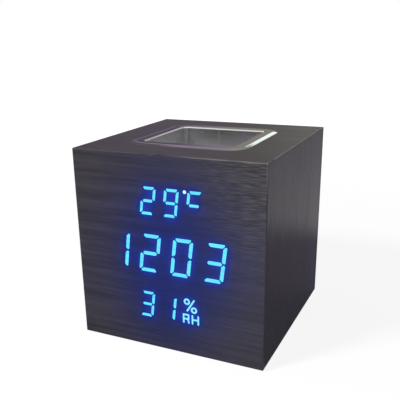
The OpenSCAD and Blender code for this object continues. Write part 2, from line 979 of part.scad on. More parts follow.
module key_board_screws() {
    color(STEEL)
        translate([0, 0, key_mid_z])
            key_screw_places()
                rotate([0, 0, 180])
                    pcb_screw(-key_back_y, pcb_t + key_depth + pcb_screw_reach);
}

// Places children at the three buttons
module at_buttons() {
    for (i = [-1 : 1])
        translate([i * button_pitch, 0, button_z])
            children();
}

module key_switches() {
    well_y = switch_out_y - plunger_root - button_travel - plunger_clear;
    color(PLASTIC)
        at_buttons()
            difference() {
                through_y(key_face_y, switch_out_y)
                    square(switch_side, center = true);
                bar_y(plunger_d + 2 * plunger_clear, well_y, switch_out_y + cut);
            }
}

// Button cap at the given place: collar, shank and a slightly crowned face
module button_cap(i) {
    face_y = back_y - button_recess;
    color(PLASTIC)
        translate([i * button_pitch, 0, button_z]) {
            bar_y(collar_d, collar_in_y, collar_out_y);
            bar_y(button_d, collar_in_y, face_y - button_crown);
            translate([0, face_y - button_crown, 0])
                rotate([-90, 0, 0])
                    cylinder(d1 = button_d, d2 = button_d - 2 * button_crown, h = button_crown);
        }
}

module switch_plunger(i) {
    color(RESIN)
        translate([i * button_pitch, 0, button_z])
            bar_y(plunger_d, switch_out_y - plunger_root, collar_in_y);
}

module set_button() {
    button_cap(1);
}

module up_button() {
    button_cap(0);
}

module down_button() {
    button_cap(-1);
}

module set_plunger() {
    switch_plunger(1);
}

module up_plunger() {
    switch_plunger(0);
}

module down_plunger() {
    switch_plunger(-1);
}

// Outline of the power socket's mouth, drawn in at the lower corners
module socket_outline(w, h) {
    polygon([
        [-w / 2, h / 2],
        [w / 2, h / 2],
        [w / 2, h / 2 - socket_step],
        [w / 2 - socket_step, -h / 2],
        [socket_step - w / 2, -h / 2],
        [-w / 2, h / 2 - socket_step]
    ]);
}

module power_socket() {
    mouth_y = key_face_y + socket_l;
    color(STEEL)
        translate([0, 0, socket_z]) {
            difference() {
                through_y(key_face_y, mouth_y)
                    socket_outline(socket_w, socket_h);
                through_y(key_face_y + socket_sheet, mouth_y + cut)
                    socket_outline(socket_w - 2 * socket_sheet, socket_h - 2 * socket_sheet);
            }
            through_y(key_face_y, mouth_y - socket_sheet)
                translate([0, socket_sheet])
                    square([socket_tongue_w, socket_tongue_h], center = true);
        }
}

module buzzer() {
    color(PLASTIC)
        translate([side_part_x, 0, side_part_z])
            difference() {
                bar_y(buzzer_d, key_face_y, key_face_y + buzzer_h);
                bar_y(buzzer_hole_d, key_face_y + buzzer_h - buzzer_hole_depth, key_face_y + buzzer_h + cut);
            }
}

module climate_sensor() {
    color(RESIN)
        translate([-side_part_x, 0, side_part_z])
            difference() {
                through_y(key_face_y, key_face_y + sensor_t)
                    square([sensor_w, sensor_h], center = true);
                for (i = [1 : sensor_slots])
                    translate([0, 0, i * sensor_slot_pitch - sensor_h / 2])
                        through_y(key_face_y + sensor_t - sensor_slot_depth, key_face_y + sensor_t + cut)
                            square([sensor_w - 2 * sensor_slot_h, sensor_slot_h], center = true);
            }
}

// Wiring

module display_connector() {
    color(RESIN)
        translate([0, 0, connector_z + plug_body_h / 2])
            through_y(display_back_y, display_back_y + plug_body_d)
                square([plug_body_w, plug_body_h], center = true);
}

module key_connector() {
    color(RESIN)
        translate([0, 0, connector_z + plug_body_h / 2])
            through_y(key_back_y - plug_body_d, key_back_y)
                square([plug_body_w, plug_body_h], center = true);
}

// Quarter bend of a flat cable, from straight down to level
module ribbon_corner() {
    intersection() {
        difference() {
            circle(ribbon_bend + ribbon_t / 2);
            circle(ribbon_bend - ribbon_t / 2);
        }
        translate([-ribbon_bend - ribbon_t, -ribbon_bend - ribbon_t])
            square(ribbon_bend + ribbon_t);
    }
}

// Half of the cable's run in Y and Z: down from a connector at y, round a corner, level to the middle
module ribbon_half(y) {
    translate([y - ribbon_t / 2, ribbon_z + ribbon_bend])
        square([ribbon_t, connector_z - ribbon_z - ribbon_bend]);
    translate([y + ribbon_bend, ribbon_z + ribbon_bend])
        ribbon_corner();
    translate([y + ribbon_bend, ribbon_z - ribbon_t / 2])
        square([-y - ribbon_bend, ribbon_t]);
}

module ribbon_cable() {
    color(RESIN)
        across_x(ribbon_w) {
            ribbon_half(ribbon_front_y);
            mirror([1, 0])
                ribbon_half(-ribbon_back_y);
        }
}

// Quarter bend of a lead in Y and Z, turned by the given angle
module lead_elbow(angle) {
    rotate([0, 0, angle])
        rotate_extrude(angle = 90)
            translate([lead_bend, 0])
                circle(d = lead_d);
}

// Lead from a solder tab: level to the back, up, and level into the key board
module battery_lead(start_y) {
    end_z = lead_z + lead_rise;
    rotate([90, 0, 90]) {
        translate([start_y, lead_z])
            rotate([0, 90, 0])
                cylinder(d = lead_d, h = lead_turn_y - lead_bend - start_y);
        translate([lead_turn_y - lead_bend, lead_z + lead_bend])
            lead_elbow(-90);
        translate([lead_turn_y, lead_z + lead_bend])
            rotate([-90, 0, 0])
                cylinder(d = lead_d, h = lead_rise - 2 * lead_bend);
        translate([lead_turn_y + lead_bend, end_z - lead_bend])
            lead_elbow(90);
        translate([lead_turn_y + lead_bend, end_z])
            rotate([0, 90, 0])
                cylinder(d = lead_d, h = key_back_y - lead_turn_y - lead_bend);
    }
}

module battery_leads() {
    color("#b02a2a")
        for (side = [-1, 1])
            translate([side * lead_x, 0, 0])
                battery_lead(side * cell_pitch + tab_w / 2);
}

// Base, battery bay and door

module base_plate() {
    bore_d = hinge_pin_d + 2 * hinge_fit;
    bore_l = hinge_pin_l + 2 * door_clear;
    tab_slot = [contact_t + 2 * tab_clear, tab_w + 2 * tab_clear, 2 * bay_wall + cut];
    color(PLASTIC)
        difference() {
            union() {
                translate([0, 0, bottom_z])
                    linear_extrude(base_t)
                        square(2 * [base_half_w, base_half_d], center = true);
                translate([0, 0, base_top_z])
                    linear_extrude(bay_top_z - base_top_z)
                        square([bay_l + 2 * bay_wall, bay_w + 2 * bay_wall], center = true);
            }
            translate([0, 0, bottom_z - cut])
                linear_extrude(bay_in_z - bottom_z + cut)
                    square([bay_l, bay_w], center = true);
            translate([0, 0, bottom_z - cut])
                linear_extrude(door_seat_z - bottom_z + cut)
                    square(2 * [door_half_w + door_clear, door_half_d + door_clear], center = true);
            for (side = [-1, 1])
                translate([side * (door_half_w + hinge_pin_l / 2), hinge_y, hinge_z])
                    rotate([0, 90, 0])
                        cylinder(d = bore_d, h = bore_l, center = true);
            translate([0, -door_half_d, bottom_z - cut])
                cylinder(r = notch_r, h = door_t / 2 + cut);
            at_corners(base_screw_x, base_screw_y)
                base_screw_hole();
            at_corners(pad_x, pad_y)
                translate([0, 0, bottom_z - cut])
                    cylinder(d = pad_d + 2 * screw_clear, h = pad_t - pad_proud + cut);
            for (side = [-1, 1])
                translate([side * lead_x, side * cell_pitch, bay_top_z])
                    cube(tab_slot, center = true);
        }
}

// Countersunk hole for a base screw
module base_screw_hole() {
    translate([0, 0, bottom_z - cut])
        cylinder(d = base_screw_hole_d, h = base_t + 2 * cut);
    translate([0, 0, bottom_z])
        cylinder(d1 = base_screw_head_d + 2 * screw_clear, d2 = base_screw_hole_d, h = base_screw_head_h);
}

module base_screws() {
    color(STEEL)
        at_corners(base_screw_x, base_screw_y)
            translate([0, 0, bottom_z]) {
                cylinder(d1 = base_screw_head_d, d2 = base_screw_d, h = base_screw_head_h);
                cylinder(d = base_screw_d, h = base_screw_l);
            }
}

module base_cleats() {
    color(MDF)
        for (side = [-1, 1])
            difference() {
                translate([side * base_screw_x, 0, base_top_z + cleat_h / 2])
                    cube([cleat_w, cleat_l, cleat_h], center = true);
                for (end = [-1, 1])
                    translate([side * base_screw_x, end * base_screw_y, bottom_z])
                        cylinder(d = base_screw_hole_d, h = base_screw_l + screw_clear);
            }
}

module foot_pads() {
    color(RUBBER)
        at_corners(pad_x, pad_y)
            cylinder(d = pad_d, h = pad_t);
}

// Section of the door in Y and Z, with its round hinge edge
module door_section() {
    translate([-door_half_d, bottom_z])
        square([hinge_y + door_half_d, door_t]);
    translate([hinge_y, hinge_z])
        circle(hinge_r);
}

module battery_door() {
    color(PLASTIC) {
        difference() {
            across_x(2 * door_half_w)
                door_section();
            for (i = [0 : grip_count - 1])
                translate([0, (i + 1) * grip_pitch - door_half_d, bottom_z])
                    cube([grip_l, grip_w, 2 * grip_depth], center = true);
        }
        for (side = [-1, 1])
            translate([side * (door_half_w + hinge_pin_l / 2), hinge_y, hinge_z])
                rotate([0, 90, 0])
                    cylinder(d = hinge_pin_d, h = hinge_pin_l, center = true);
    }
}

// Section of a cell from its flat end to its nub
module cell_section() {
    square([cell_d / 2, cell_l - nub_h]);
    square([nub_d / 2, cell_l]);
}

// A cell points its nub along +X when the sign is 1
function cell_sign(row) = row == 0 ? -1 : 1;

module battery_cells() {
    color("#7d8a3c")
        for (row = CELL_ROWS)
            translate([cell_sign(row) * (contact_x - cell_l), row * cell_pitch, cell_z])
                rotate([0, cell_sign(row) * 90, 0])
                    rotate_extrude()
                        cell_section();
}

// Points along a contact spring: a straight stub, the turns, and another stub
function spring_point(i) = let (turn = 360 * i / SPRING_RINGS) [
    spring_wire + spring_run * i / (spring_turns * SPRING_RINGS),
    spring_r * cos(turn),
    spring_r * sin(turn)
];

function spring_path() = let (last = spring_turns * SPRING_RINGS) concat(
    [[0, spring_r, 0]],
    [for (i = [0 : last]) spring_point(i)],
    [[spring_l, spring_r * cos(360 * spring_turns), spring_r * sin(360 * spring_turns)]]
);

// Ring of the wire's outline round one point of the path
function wire_ring(path, i) =
    let (
        ahead = path[min(i + 1, len(path) - 1)],
        behind = path[max(i - 1, 0)],
        along = i == 0 || i == len(path) - 1 ? [1, 0, 0] : unit(ahead - behind),
        out = unit([0, path[i][1], path[i][2]]),
        side = unit(cross(along, out)),
        normal = cross(side, along)
    )
    [for (k = [0 : SPRING_SIDES - 1])
        let (turn = 360 * k / SPRING_SIDES)
        path[i] + spring_wire / 2 * (cos(turn) * normal + sin(turn) * side)];

// Least clear gap between turns, measured on the points of the path
function spring_gap(path) = min([
    for (i = [0 : len(path) - 1], j = [i + SPRING_RINGS / 2 : 1 : len(path) - 1]) norm(path[i] - path[j])
]) - spring_wire;

module contact_spring() {
    path = spring_path();
    rings = len(path);
    last = (rings - 1) * SPRING_SIDES;
    echo(least_gap_between_turns = spring_gap(path));
    polyhedron(
        points = [for (i = [0 : rings - 1]) each wire_ring(path, i)],
        faces = concat(
            [for (k = [1 : SPRING_SIDES - 2]) [0, k, k + 1]],
            [for (k = [1 : SPRING_SIDES - 2]) [last, last + k + 1, last + k]],
            [for (i = [0 : rings - 2], k = [0 : SPRING_SIDES - 1])
                let (a = i * SPRING_SIDES + k, b = i * SPRING_SIDES + (k + 1) % SPRING_SIDES)
                each [[a, a + SPRING_SIDES, b], [b, a + SPRING_SIDES, b + SPRING_SIDES]]]
        )
    );
}

module battery_springs() {
    color(STEEL)
        for (row = CELL_ROWS)
            translate([-cell_sign(row) * contact_x, row * cell_pitch, cell_z])
                rotate([0, 0, cell_sign(row) > 0 ? 0 : 180])
                    contact_spring();
}

// Contact plate against an end wall of the bay, on the given side
module contact_plate(side, y, w) {
    translate([side * lead_x, y, cell_z])
        cube([contact_t, w, contact_h], center = true);
}

module contact_bridges() {
    color(STEEL)
        for (side = [-1, 1])
            contact_plate(side, -side * cell_pitch / 2, cell_pitch + contact_h);
}

module contact_terminals() {
    color(STEEL)
        for (side = [-1, 1]) {
            contact_plate(side, side * cell_pitch, contact_h);
            translate([side * lead_x - contact_t / 2, side * cell_pitch - tab_w / 2, cell_z])
                cube([contact_t, tab_w, tab_top_z - cell_z]);
        }
}

front_panel();
front_veneer();
left_panel();
right_panel();
back_panel();
top_panel();
pen_cup();
display_housing();
time_segments();
temperature_segments();
humidity_segments();
sign_lens();
idle_segments();
led_chips();
display_board();
display_screws();
clock_chip();
crystal();
display_connector();
ribbon_cable();
key_connector();
key_board();
key_board_spacers();
key_board_screws();
key_switches();
power_socket();
buzzer();
climate_sensor();
set_button();
up_button();
down_button();
set_plunger();
up_plunger();
down_plunger();
base_plate();
base_cleats();
base_screws();
foot_pads();
battery_door();
battery_cells();
battery_springs();
contact_bridges();
contact_terminals();
battery_leads();
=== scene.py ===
"""Looks of a cube-shaped wooden desk clock with a chrome pen cup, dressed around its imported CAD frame."""

import logging
import math
from dataclasses import dataclass
from enum import Enum
from functools import cache
from itertools import pairwise

import bmesh
import bpy
import numpy as np
from mathutils import Matrix, Vector
from mathutils.bvhtree import BVHTree


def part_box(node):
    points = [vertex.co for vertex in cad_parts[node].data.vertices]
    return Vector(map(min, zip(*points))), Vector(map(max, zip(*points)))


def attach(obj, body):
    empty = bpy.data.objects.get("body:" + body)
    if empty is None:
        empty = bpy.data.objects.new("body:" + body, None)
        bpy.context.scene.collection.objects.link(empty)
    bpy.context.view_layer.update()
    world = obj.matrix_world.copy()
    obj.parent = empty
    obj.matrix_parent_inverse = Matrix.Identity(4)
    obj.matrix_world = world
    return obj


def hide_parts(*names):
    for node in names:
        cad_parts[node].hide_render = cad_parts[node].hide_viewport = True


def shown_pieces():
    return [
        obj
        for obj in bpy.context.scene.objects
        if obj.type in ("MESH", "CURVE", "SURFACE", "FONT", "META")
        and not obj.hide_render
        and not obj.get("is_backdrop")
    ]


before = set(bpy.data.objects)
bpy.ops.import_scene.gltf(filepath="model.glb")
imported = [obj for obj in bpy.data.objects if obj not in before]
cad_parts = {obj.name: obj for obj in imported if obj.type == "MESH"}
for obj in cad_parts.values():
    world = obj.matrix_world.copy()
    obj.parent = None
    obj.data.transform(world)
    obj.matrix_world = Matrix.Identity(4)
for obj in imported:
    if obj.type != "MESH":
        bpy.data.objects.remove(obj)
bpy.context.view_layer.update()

LOG = logging.getLogger("desk_clock")
CASE_BODY = "case"
INWARD = "inward"
MM = 0.001
WELD = 0.001 * MM
SHARP = math.radians(30)

Pair = tuple[float, float]
Place = tuple[float, float, float]
Colour = tuple[float, float, float]
Socket = bpy.types.NodeSocket
Node = bpy.types.Node
Piece = bpy.types.Object
Shape = bmesh.types.BMesh

ORIGIN: Place = (0.0, 0.0, 0.0)
RIGHT: Place = (1.0, 0.0, 0.0)
BACK: Place = (0.0, 1.0, 0.0)
UP: Place = (0.0, 0.0, 1.0)
BLACK: Colour = (0.0, 0.0, 0.0)
WHITE: Colour = (1.0, 1.0, 1.0)


class Texture(Enum):
    """Make-up of a noise: how many finer layers it has, and how strong they are."""

    SWELL = (1.0, 0.4)
    SOFT = (2.0, 0.5)
    FINE = (3.0, 0.6)
    CRUMBLY = (5.0, 0.65)


class Grain(Enum):
    """Axis along which the wood grain runs."""

    ACROSS = 0
    UP = 2

    def stretch(self, along: float, across: float) -> Place:
        """Waves to the metre on each axis, for grain with these rates along and across it."""
        return tuple(along if axis == self.value else across for axis in range(3))


class Glow(Enum):
    """How far light spreads inside the veneer: its reach in metres."""

    NEAR = 3.0 * MM
    FAR = 25.0 * MM


class Value:
    """A number given by a shader node, which takes part in Python expressions."""

    def __init__(self, bench: "Bench", socket: Socket) -> None:
        """Wraps one output socket of the bench's node tree."""
        self.bench = bench
        self.socket = socket

    def math(self, operation: str, *operands: "Value | float") -> "Value":
        """The result of a Math node with this operation and these inputs."""
        made = self.bench.node("ShaderNodeMath", {"operation": operation}, dict(enumerate(operands)))
        return Value(self.bench, made.outputs[0])

    def __add__(self, other: "Value | float") -> "Value":
        """Sum of two numbers."""
        return self.math("ADD", self, other)

    __radd__ = __add__

    def __sub__(self, other: "Value | float") -> "Value":
        """Difference of two numbers."""
        return self.math("SUBTRACT", self, other)

    def __rsub__(self, other: float) -> "Value":
        """Difference with the plain number first."""
        return self.math("SUBTRACT", other, self)

    def __mul__(self, other: "Value | float") -> "Value":
        """Product of two numbers."""
        return self.math("MULTIPLY", self, other)

    __rmul__ = __mul__

    def __abs__(self) -> "Value":
        """Size of a number, without its sign."""
        return self.math("ABSOLUTE", self)

    def __neg__(self) -> "Value":
        """The number with its sign turned."""
        return self.math("MULTIPLY", self, -1.0)

    def above(self, limit: float) -> "Value":
        """1 where the number is larger than the limit, and 0 elsewhere."""
        return self.math("GREATER_THAN", self, limit)

    def below(self, limit: float) -> "Value":
        """1 where the number is smaller than the limit, and 0 elsewhere."""
        return self.math("LESS_THAN", self, limit)

    def distance(self, other: "Value") -> "Value":
        """How far a point with these two coordinates lies from zero."""
        return self.math("POWER", self * self + other * other, 0.5)

    def clamped(self) -> "Value":
        """The number held between 0 and 1."""
        made = self.bench.node("ShaderNodeClamp", {}, {"Value": self})
        return Value(self.bench, made.outputs[0])

    def between(self, low: float, high: float) -> "Value":
        """Makes a smooth step.

        Args:
            low: where the step is 0.
            high: where it is 1.

        Returns:
            The step.
        """
        sockets = {"Value": self, "From Min": low, "From Max": high}
        made = self.bench.node("ShaderNodeMapRange", {"interpolation_type": "SMOOTHSTEP"}, sockets)
        return Value(self.bench, made.outputs[0])


class Bench:
    """The node tree of one material, or of the world, while it is being made."""

    MIX_INPUTS = {"share": 0, "first": 6, "second": 7}
    MIX_RESULT = 2

    def __init__(self, tree: bpy.types.NodeTree) -> None:
        """Starts with an empty tree."""
        self.tree = tree
        self.tree.nodes.clear()

    def node(self, kind: str, settings: dict | None = None, sockets: dict | None = None) -> Node:
        """Adds one node.

        Args:
            kind: Blender's type name of the node.
            settings: its properties, which are set first.
            sockets: input names or numbers, with a value or the output that feeds each.

        Returns:
            The new node.
        """
        made = self.tree.nodes.new(kind)
        for name, value in (settings or {}).items():
            setattr(made, name, value)
        for name, value in (sockets or {}).items():
            source = value.socket if isinstance(value, Value) else value
            if isinstance(source, Socket):
                self.tree.links.new(source, made.inputs[name])
            elif made.inputs[name].type == "RGBA":
                made.inputs[name].default_value = (*source, 1.0)
            else:
                made.inputs[name].default_value = source
        return made

    def place(self, stretch: Place = (1.0, 1.0, 1.0), turn: Place = ORIGIN) -> Socket:
        """Gives the point on the piece, in metres.

        Args:
            stretch: what each axis is multiplied by.
            turn: how the point is then turned about each axis.

        Returns:
            The socket with the point.
        """
        point = self.node("ShaderNodeTexCoord").outputs["Object"]
        sockets = {"Vector": point, "Scale": stretch, "Rotation": turn}
        return self.node("ShaderNodeMapping", {"vector_type": "POINT"}, sockets).outputs["Vector"]

    def axis(self, letter: str) -> Value:
        """One coordinate of the point on the piece, in metres."""
        split = self.node("ShaderNodeSeparateXYZ", {}, {"Vector": self.place()})
        return Value(self, split.outputs[letter])

    def noise(self, rate: Place | float, texture: Texture) -> Value:
        """Makes noise.

        Args:
            rate: its waves to the metre, on each axis or the same on all.
            texture: its make-up.

        Returns:
            The noise, from 0 to 1.
        """
        stretch = rate if isinstance(rate, tuple) else (rate,) * 3
        detail, roughness = texture.value
        sockets = {"Vector": self.place(stretch), "Scale": 1.0, "Detail": detail, "Roughness": roughness}
        made = self.node("ShaderNodeTexNoise", {"noise_dimensions": "3D"}, sockets)
        return Value(self, made.outputs["Fac"])

    def attribute(self, name: str) -> Value:
        """A number that is noted at each point of the mesh."""
        return Value(self, self.node("ShaderNodeAttribute", {"attribute_name": name}).outputs["Fac"])

    def rays(self, *kinds: str) -> Value:
        """1 for a ray of one of these kinds, and 0 for another."""
        path = self.node("ShaderNodeLightPath")
        return sum(Value(self, path.outputs[f"Is {kind} Ray"]) for kind in kinds).clamped()

    def mix(self, share: Value, first: Colour | Socket, second: Colour | Socket) -> Socket:
        """Blends two colours.

        Args:
            share: how much of the second shows, from 0 to 1.
            first: a colour, or the socket that gives one.
            second: a colour, or the socket that gives one.

        Returns:
            The socket with the blended colour.
        """
        sockets = dict(zip(self.MIX_INPUTS.values(), (share, first, second)))
        made = self.node("ShaderNodeMix", {"data_type": "RGBA"}, sockets)
        return made.outputs[self.MIX_RESULT]

    def bump(self, height: Value, strength: float, depth: float) -> Socket:
        """Turns a height from 0 to 1 into a normal, for relief that is depth metres deep."""
        made = self.node("ShaderNodeBump", {}, {"Height": height, "Strength": strength, "Distance": depth})
        return made.outputs["Normal"]

    def blend(self, share: Value, first: Node, second: Node) -> Node:
        """Blends two shaders; share is how much of the second shows."""
        return self.node("ShaderNodeMixShader", {}, {0: share, 1: first.outputs[0], 2: second.outputs[0]})

    def end(self, shader: Node, kind: str = "Material") -> None:
        """Leads a shader to the output of the material, or of the world."""
        self.node(f"ShaderNodeOutput{kind}", {}, {"Surface": shader.outputs[0]})

    def surface(self, **sockets: object) -> None:
        """Ends a material with one Principled shader; underscores in the names stand for spaces."""
        named = {name.replace("_", " "): value for name, value in sockets.items()}
        self.end(self.node("ShaderNodeBsdfPrincipled", {}, named))


def tinted(colour: Colour, share: float) -> Colour:
    """The colour with this share of its brightness."""
    return tuple(part * share for part in colour)


@dataclass(frozen=True)
class Finish:
    """A surface finish, which makes its own material."""

    name: str

    @cache
    def material(self) -> bpy.types.Material:
        """Makes the material of this finish, on first use.

        Returns:
            The material.
        """
        made = bpy.data.materials.new(self.name)
        made.use_nodes = True
        self.shade(Bench(made.node_tree))
        return made

    def shade(self, bench: Bench) -> None:
        """Fills the material's node tree."""
        raise NotImplementedError

    def dress(self, *pieces: Piece | str) -> None:
        """Gives the finish to whole pieces.

        Args:
            pieces: new pieces, or names of CAD nodes.
        """
        for piece in pieces:
            mesh = (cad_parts[piece] if isinstance(piece, str) else piece).data
            mesh.materials.clear()
            mesh.materials.append(self.material())


@dataclass(frozen=True)
class WoodFilm(Finish):
    """Black-stained wood under satin lacquer: streaks, open pores, paler upper edges and a bare lower cut.

    The upper edges are rubbed paler and also carry a painted highlight, which grows towards the right.
    Each kind of grain has its waves to the metre along it, then across it.
    """

    grain: Grain
    dark: Colour = (0.0095, 0.0085, 0.010)
    light: Colour = (0.034, 0.031, 0.0335)
    fine_grain: Pair = (38.0, 1500.0)
    broad_grain: Pair = (7.0, 170.0)
    streak_share: float = 0.75
    streak_span: Pair = (0.34, 0.70)
    pore_grain: Pair = (110.0, 3200.0)
    pore_span: Pair = (0.62, 0.72)
    pore_share: float = 0.6
    pore_depth: float = 0.5
    roughness: float = 0.34
    roughness_swing: float = 0.16
    specular: float = 0.5
    relief: float = 0.14
    relief_depth: float = 0.2 * MM
    middle: Place = (0.0, 0.0, 50.5 * MM)
    half: float = 50.0 * MM
    edge_band: float = 0.8 * MM
    # Edge colour: paler for rubbed wear and for a painted highlight.
    rubbed_and_highlight: Colour = (0.30, 0.285, 0.27)
    patch_rate: float = 55.0
    patch_span: Pair = (0.30, 0.52)
    least_paling: float = 0.3
    paling_side: Pair = (-20.0 * MM, 42.0 * MM)
    paled_top: Pair = (84.0 * MM, 100.0 * MM)
    cut: Colour = (0.16, 0.105, 0.06)
    cut_span: Pair = (0.52 * MM, 0.58 * MM)
    cut_roughness: float = 0.4
    chip_rate: float = 900.0
    chip_span: Pair = (0.4, 0.68)
    chip_tint: float = 0.6

    def streaks(self, bench: Bench) -> Value:
        """Makes the streaks of the grain.

        Args:
            bench: the material's node tree.

        Returns:
            The streaks, from 0 to 1.
        """
        fine = bench.noise(self.grain.stretch(*self.fine_grain), Texture.FINE)
        broad = bench.noise(self.grain.stretch(*self.broad_grain), Texture.SOFT)
        return (fine * self.streak_share + broad * (1.0 - self.streak_share)).between(*self.streak_span)

    def pores(self, bench: Bench) -> Value:
        """Short open pores, 1 in a pore."""
        return bench.noise(self.grain.stretch(*self.pore_grain), Texture.SOFT).between(*self.pore_span)

    def edges(self, bench: Bench) -> Value:
        """Finds the upper edges, paled by wear and a painted highlight, patchy and growing towards the
        right.

        Args:
            bench: the material's node tree.

        Returns:
            1 where an edge is rubbed bare or carries the painted highlight.
        """
        x, y, z = (abs(bench.axis(letter) - at).between(self.half - self.edge_band, self.half)
                   for letter, at in zip("XYZ", self.middle))
        # Painted highlight with real wear: the upper edges pale in patches, more towards the right.
        patches = bench.noise(self.patch_rate, Texture.FINE).between(*self.patch_span)
        side = self.least_paling + bench.axis("X").between(*self.paling_side) * (1.0 - self.least_paling)
        top = bench.axis("Z").between(*self.paled_top)
        return (x * y + y * z + z * x).clamped() * patches * side * top

    def stain(self, bench: Bench, streaks: Value) -> Socket:
        """Colour of the stained wood."""
        return bench.mix(streaks, self.dark, self.light)

    def shade(self, bench: Bench) -> None:
        """Shows the grain in colour, gloss and relief.

        Args:
            bench: the material's node tree.
        """
        streaks = self.streaks(bench)
        pores = self.pores(bench)
        open_grain = bench.mix(pores * self.pore_share, self.stain(bench, streaks), self.dark)
        # The paler edges mix rubbed wear with a painted highlight.
        film = bench.mix(self.edges(bench), open_grain, self.rubbed_and_highlight)
        cut = 1.0 - bench.axis("Z").between(*self.cut_span)
        chips = bench.noise(self.chip_rate, Texture.CRUMBLY).between(*self.chip_span)
        bare = bench.mix(chips, self.cut, tinted(self.cut, self.chip_tint))
        bench.surface(
            Base_Color=bench.mix(cut, film, bare),
            Roughness=self.roughness + streaks * self.roughness_swing + cut * self.cut_roughness,
            Specular_IOR_Level=self.specular,
            Normal=bench.bump(streaks - pores * self.pore_depth, self.relief, self.relief_depth),
            **self.light_through(bench, streaks),
        )

    def light_through(self, bench: Bench, streaks: Value) -> dict:
        """Light that shines through the wood: none on a plain board."""
        return {}


@dataclass(frozen=True)
class LitVeneer(WoodFilm):
    """The front veneer, with the glow that spreads in it around all that is lit."""

    fine_grain: Pair = (34.0, 720.0)
    broad_grain: Pair = (9.0, 260.0)
    streak_share: float = 0.5
    pore_share: float = 0.35
    specular: float = 0.25
    glow: Colour = (0.0, 0.075, 1.0)
    near: float = 0.0235
    far: float = 0.00055
    rest: float = 0.006
    least_light: float = 0.8
    light_swing: float = 0.3
    # Painted highlight: pale glints on short fibres, only towards the upper right.
    fibre_glint: Colour = (0.122, 0.119, 0.107)
    glint_grain: Pair = (130.0, 2100.0)
    glint_span: Pair = (0.39, 0.72)
    glint_right: Pair = (0.0, 46.0 * MM)
    glint_top: Pair = (20.0 * MM, 95.0 * MM)
    window: Colour = (0.004, 0.004, 0.005)
    window_share: float = 0.9
    window_full: float = 215.0
    beside: Pair = (0.5, 10.0)

    def spread(self, bench: Bench, glow: Glow) -> Value:
        """Light that arrives from all that is lit, in square millimetres of lit face."""
        return bench.attribute(glow.name.lower())

    def stain(self, bench: Bench, streaks: Value) -> Socket:
        """Makes the stain deeper over the display, with painted glints of short fibres to the upper right.

        Args:
            bench: the material's node tree.
            streaks: the streaks of the grain.

        Returns:
            The socket with the colour of the stained wood.
        """
        # Painted highlight: glints of the grain that catch light at the upper right.
        glints = bench.noise(self.grain.stretch(*self.glint_grain), Texture.SOFT).between(*self.glint_span)
        corner = bench.axis("X").between(*self.glint_right) * bench.axis("Z").between(*self.glint_top)
        glinted = bench.mix(glints * corner, super().stain(bench, streaks), self.fibre_glint)
        window = self.spread(bench, Glow.FAR).between(0.0, self.window_full) * self.window_share
        beside = self.spread(bench, Glow.NEAR).between(*self.beside)
        return bench.mix((window + beside).clamped(), glinted, self.window)

    def light_through(self, bench: Bench, streaks: Value) -> dict:
        """Makes a blue halo close to what is lit and a wide faint glow, both broken up by the grain.

        Args:
            bench: the material's node tree.
            streaks: the streaks of the grain.

        Returns:
            The shader's sockets for light.
        """
        near, far = (self.spread(bench, glow) for glow in (Glow.NEAR, Glow.FAR))
        light = near * self.near + far * self.far + self.rest
        shown = bench.mix(light * (self.least_light + streaks * self.light_swing), BLACK, self.glow)
        return {"Emission_Color": shown, "Emission_Strength": 1.0}


@dataclass(frozen=True)
class LitGuide(Finish):
    """A light guide that shines cyan, with the veneer's grain in its light and, where given, a dim rim."""

    core: Colour = (0.105, 0.76, 0.98)
    streak: Colour = (0.070, 0.56, 0.88)
    body: Colour = (0.05, 0.20, 0.26)
    rim: Pair | None = None
    dim: Colour = (0.0, 0.020, 0.22)
    dim_body: Colour = (0.004, 0.004, 0.005)
    hot: Colour = (0.55, 0.90, 1.0)
    hot_place: Pair = (10.76 * MM, 84.15 * MM)
    hot_span: Pair = (0.99 * MM, 1.1 * MM)
    grain: Pair = (60.0, 1300.0)
    grain_span: Pair = (0.35, 0.65)
    roughness: float = 0.35
    roughness_swing: float = 0.1

    def shade(self, bench: Bench) -> None:
        """Makes it shine with faint grain, and whiter at the small dot where the light is densest.

        Args:
            bench: the material's node tree.
        """
        grain = bench.noise(Grain.ACROSS.stretch(*self.grain), Texture.SOFT).between(*self.grain_span)
        x, z = (bench.axis(letter) - at for letter, at in zip("XZ", self.hot_place))
        dot = 1.0 - x.distance(z).between(*self.hot_span)
        body = self.body
        lit = bench.mix(grain, self.streak, self.core)
        if self.rim:
            inward = bench.attribute(INWARD).between(*self.rim)
            body = bench.mix(inward, self.dim_body, body)
            lit = bench.mix(inward, self.dim, lit)
        bench.surface(
            Base_Color=body,
            Roughness=self.roughness + grain * self.roughness_swing,
            Emission_Color=bench.mix(dot, lit, self.hot),
            Emission_Strength=1.0,
        )


@dataclass(frozen=True)
class ChromePlate(Finish):
    """Bright plating over moulded plastic, slightly wavy, with fine haze; thinner and duller deep down."""

    colour: Colour = (0.78, 0.785, 0.79)
    roughness: float = 0.04
    swell_rate: float = 38.0
    relief: float = 0.012
    relief_depth: float = 0.4 * MM
    haze_rate: float = 900.0
    haze_span: Pair = (0.4, 0.8)
    haze_tint: float = 0.94
    haze_dullness: float = 0.04
    deep_span: Pair = (88.0 * MM, 99.5 * MM)
    deep_dullness: float = 0.16
    deep_thinness: float = 0.3

    def shade(self, bench: Bench) -> None:
        """Makes metal with a soft swell and a little haze.

        Args:
            bench: the material's node tree.
        """
        swell = bench.noise(self.swell_rate, Texture.SWELL)
        haze = bench.noise(self.haze_rate, Texture.FINE).between(*self.haze_span)
        deep = 1.0 - bench.axis("Z").between(*self.deep_span)
        bench.surface(
            Base_Color=bench.mix(haze, self.colour, tinted(self.colour, self.haze_tint)),
            Metallic=1.0 - deep * self.deep_thinness,
            Roughness=self.roughness + haze * self.haze_dullness + deep * self.deep_dullness,
            Normal=bench.bump(swell, self.relief, self.relief_depth),
        )


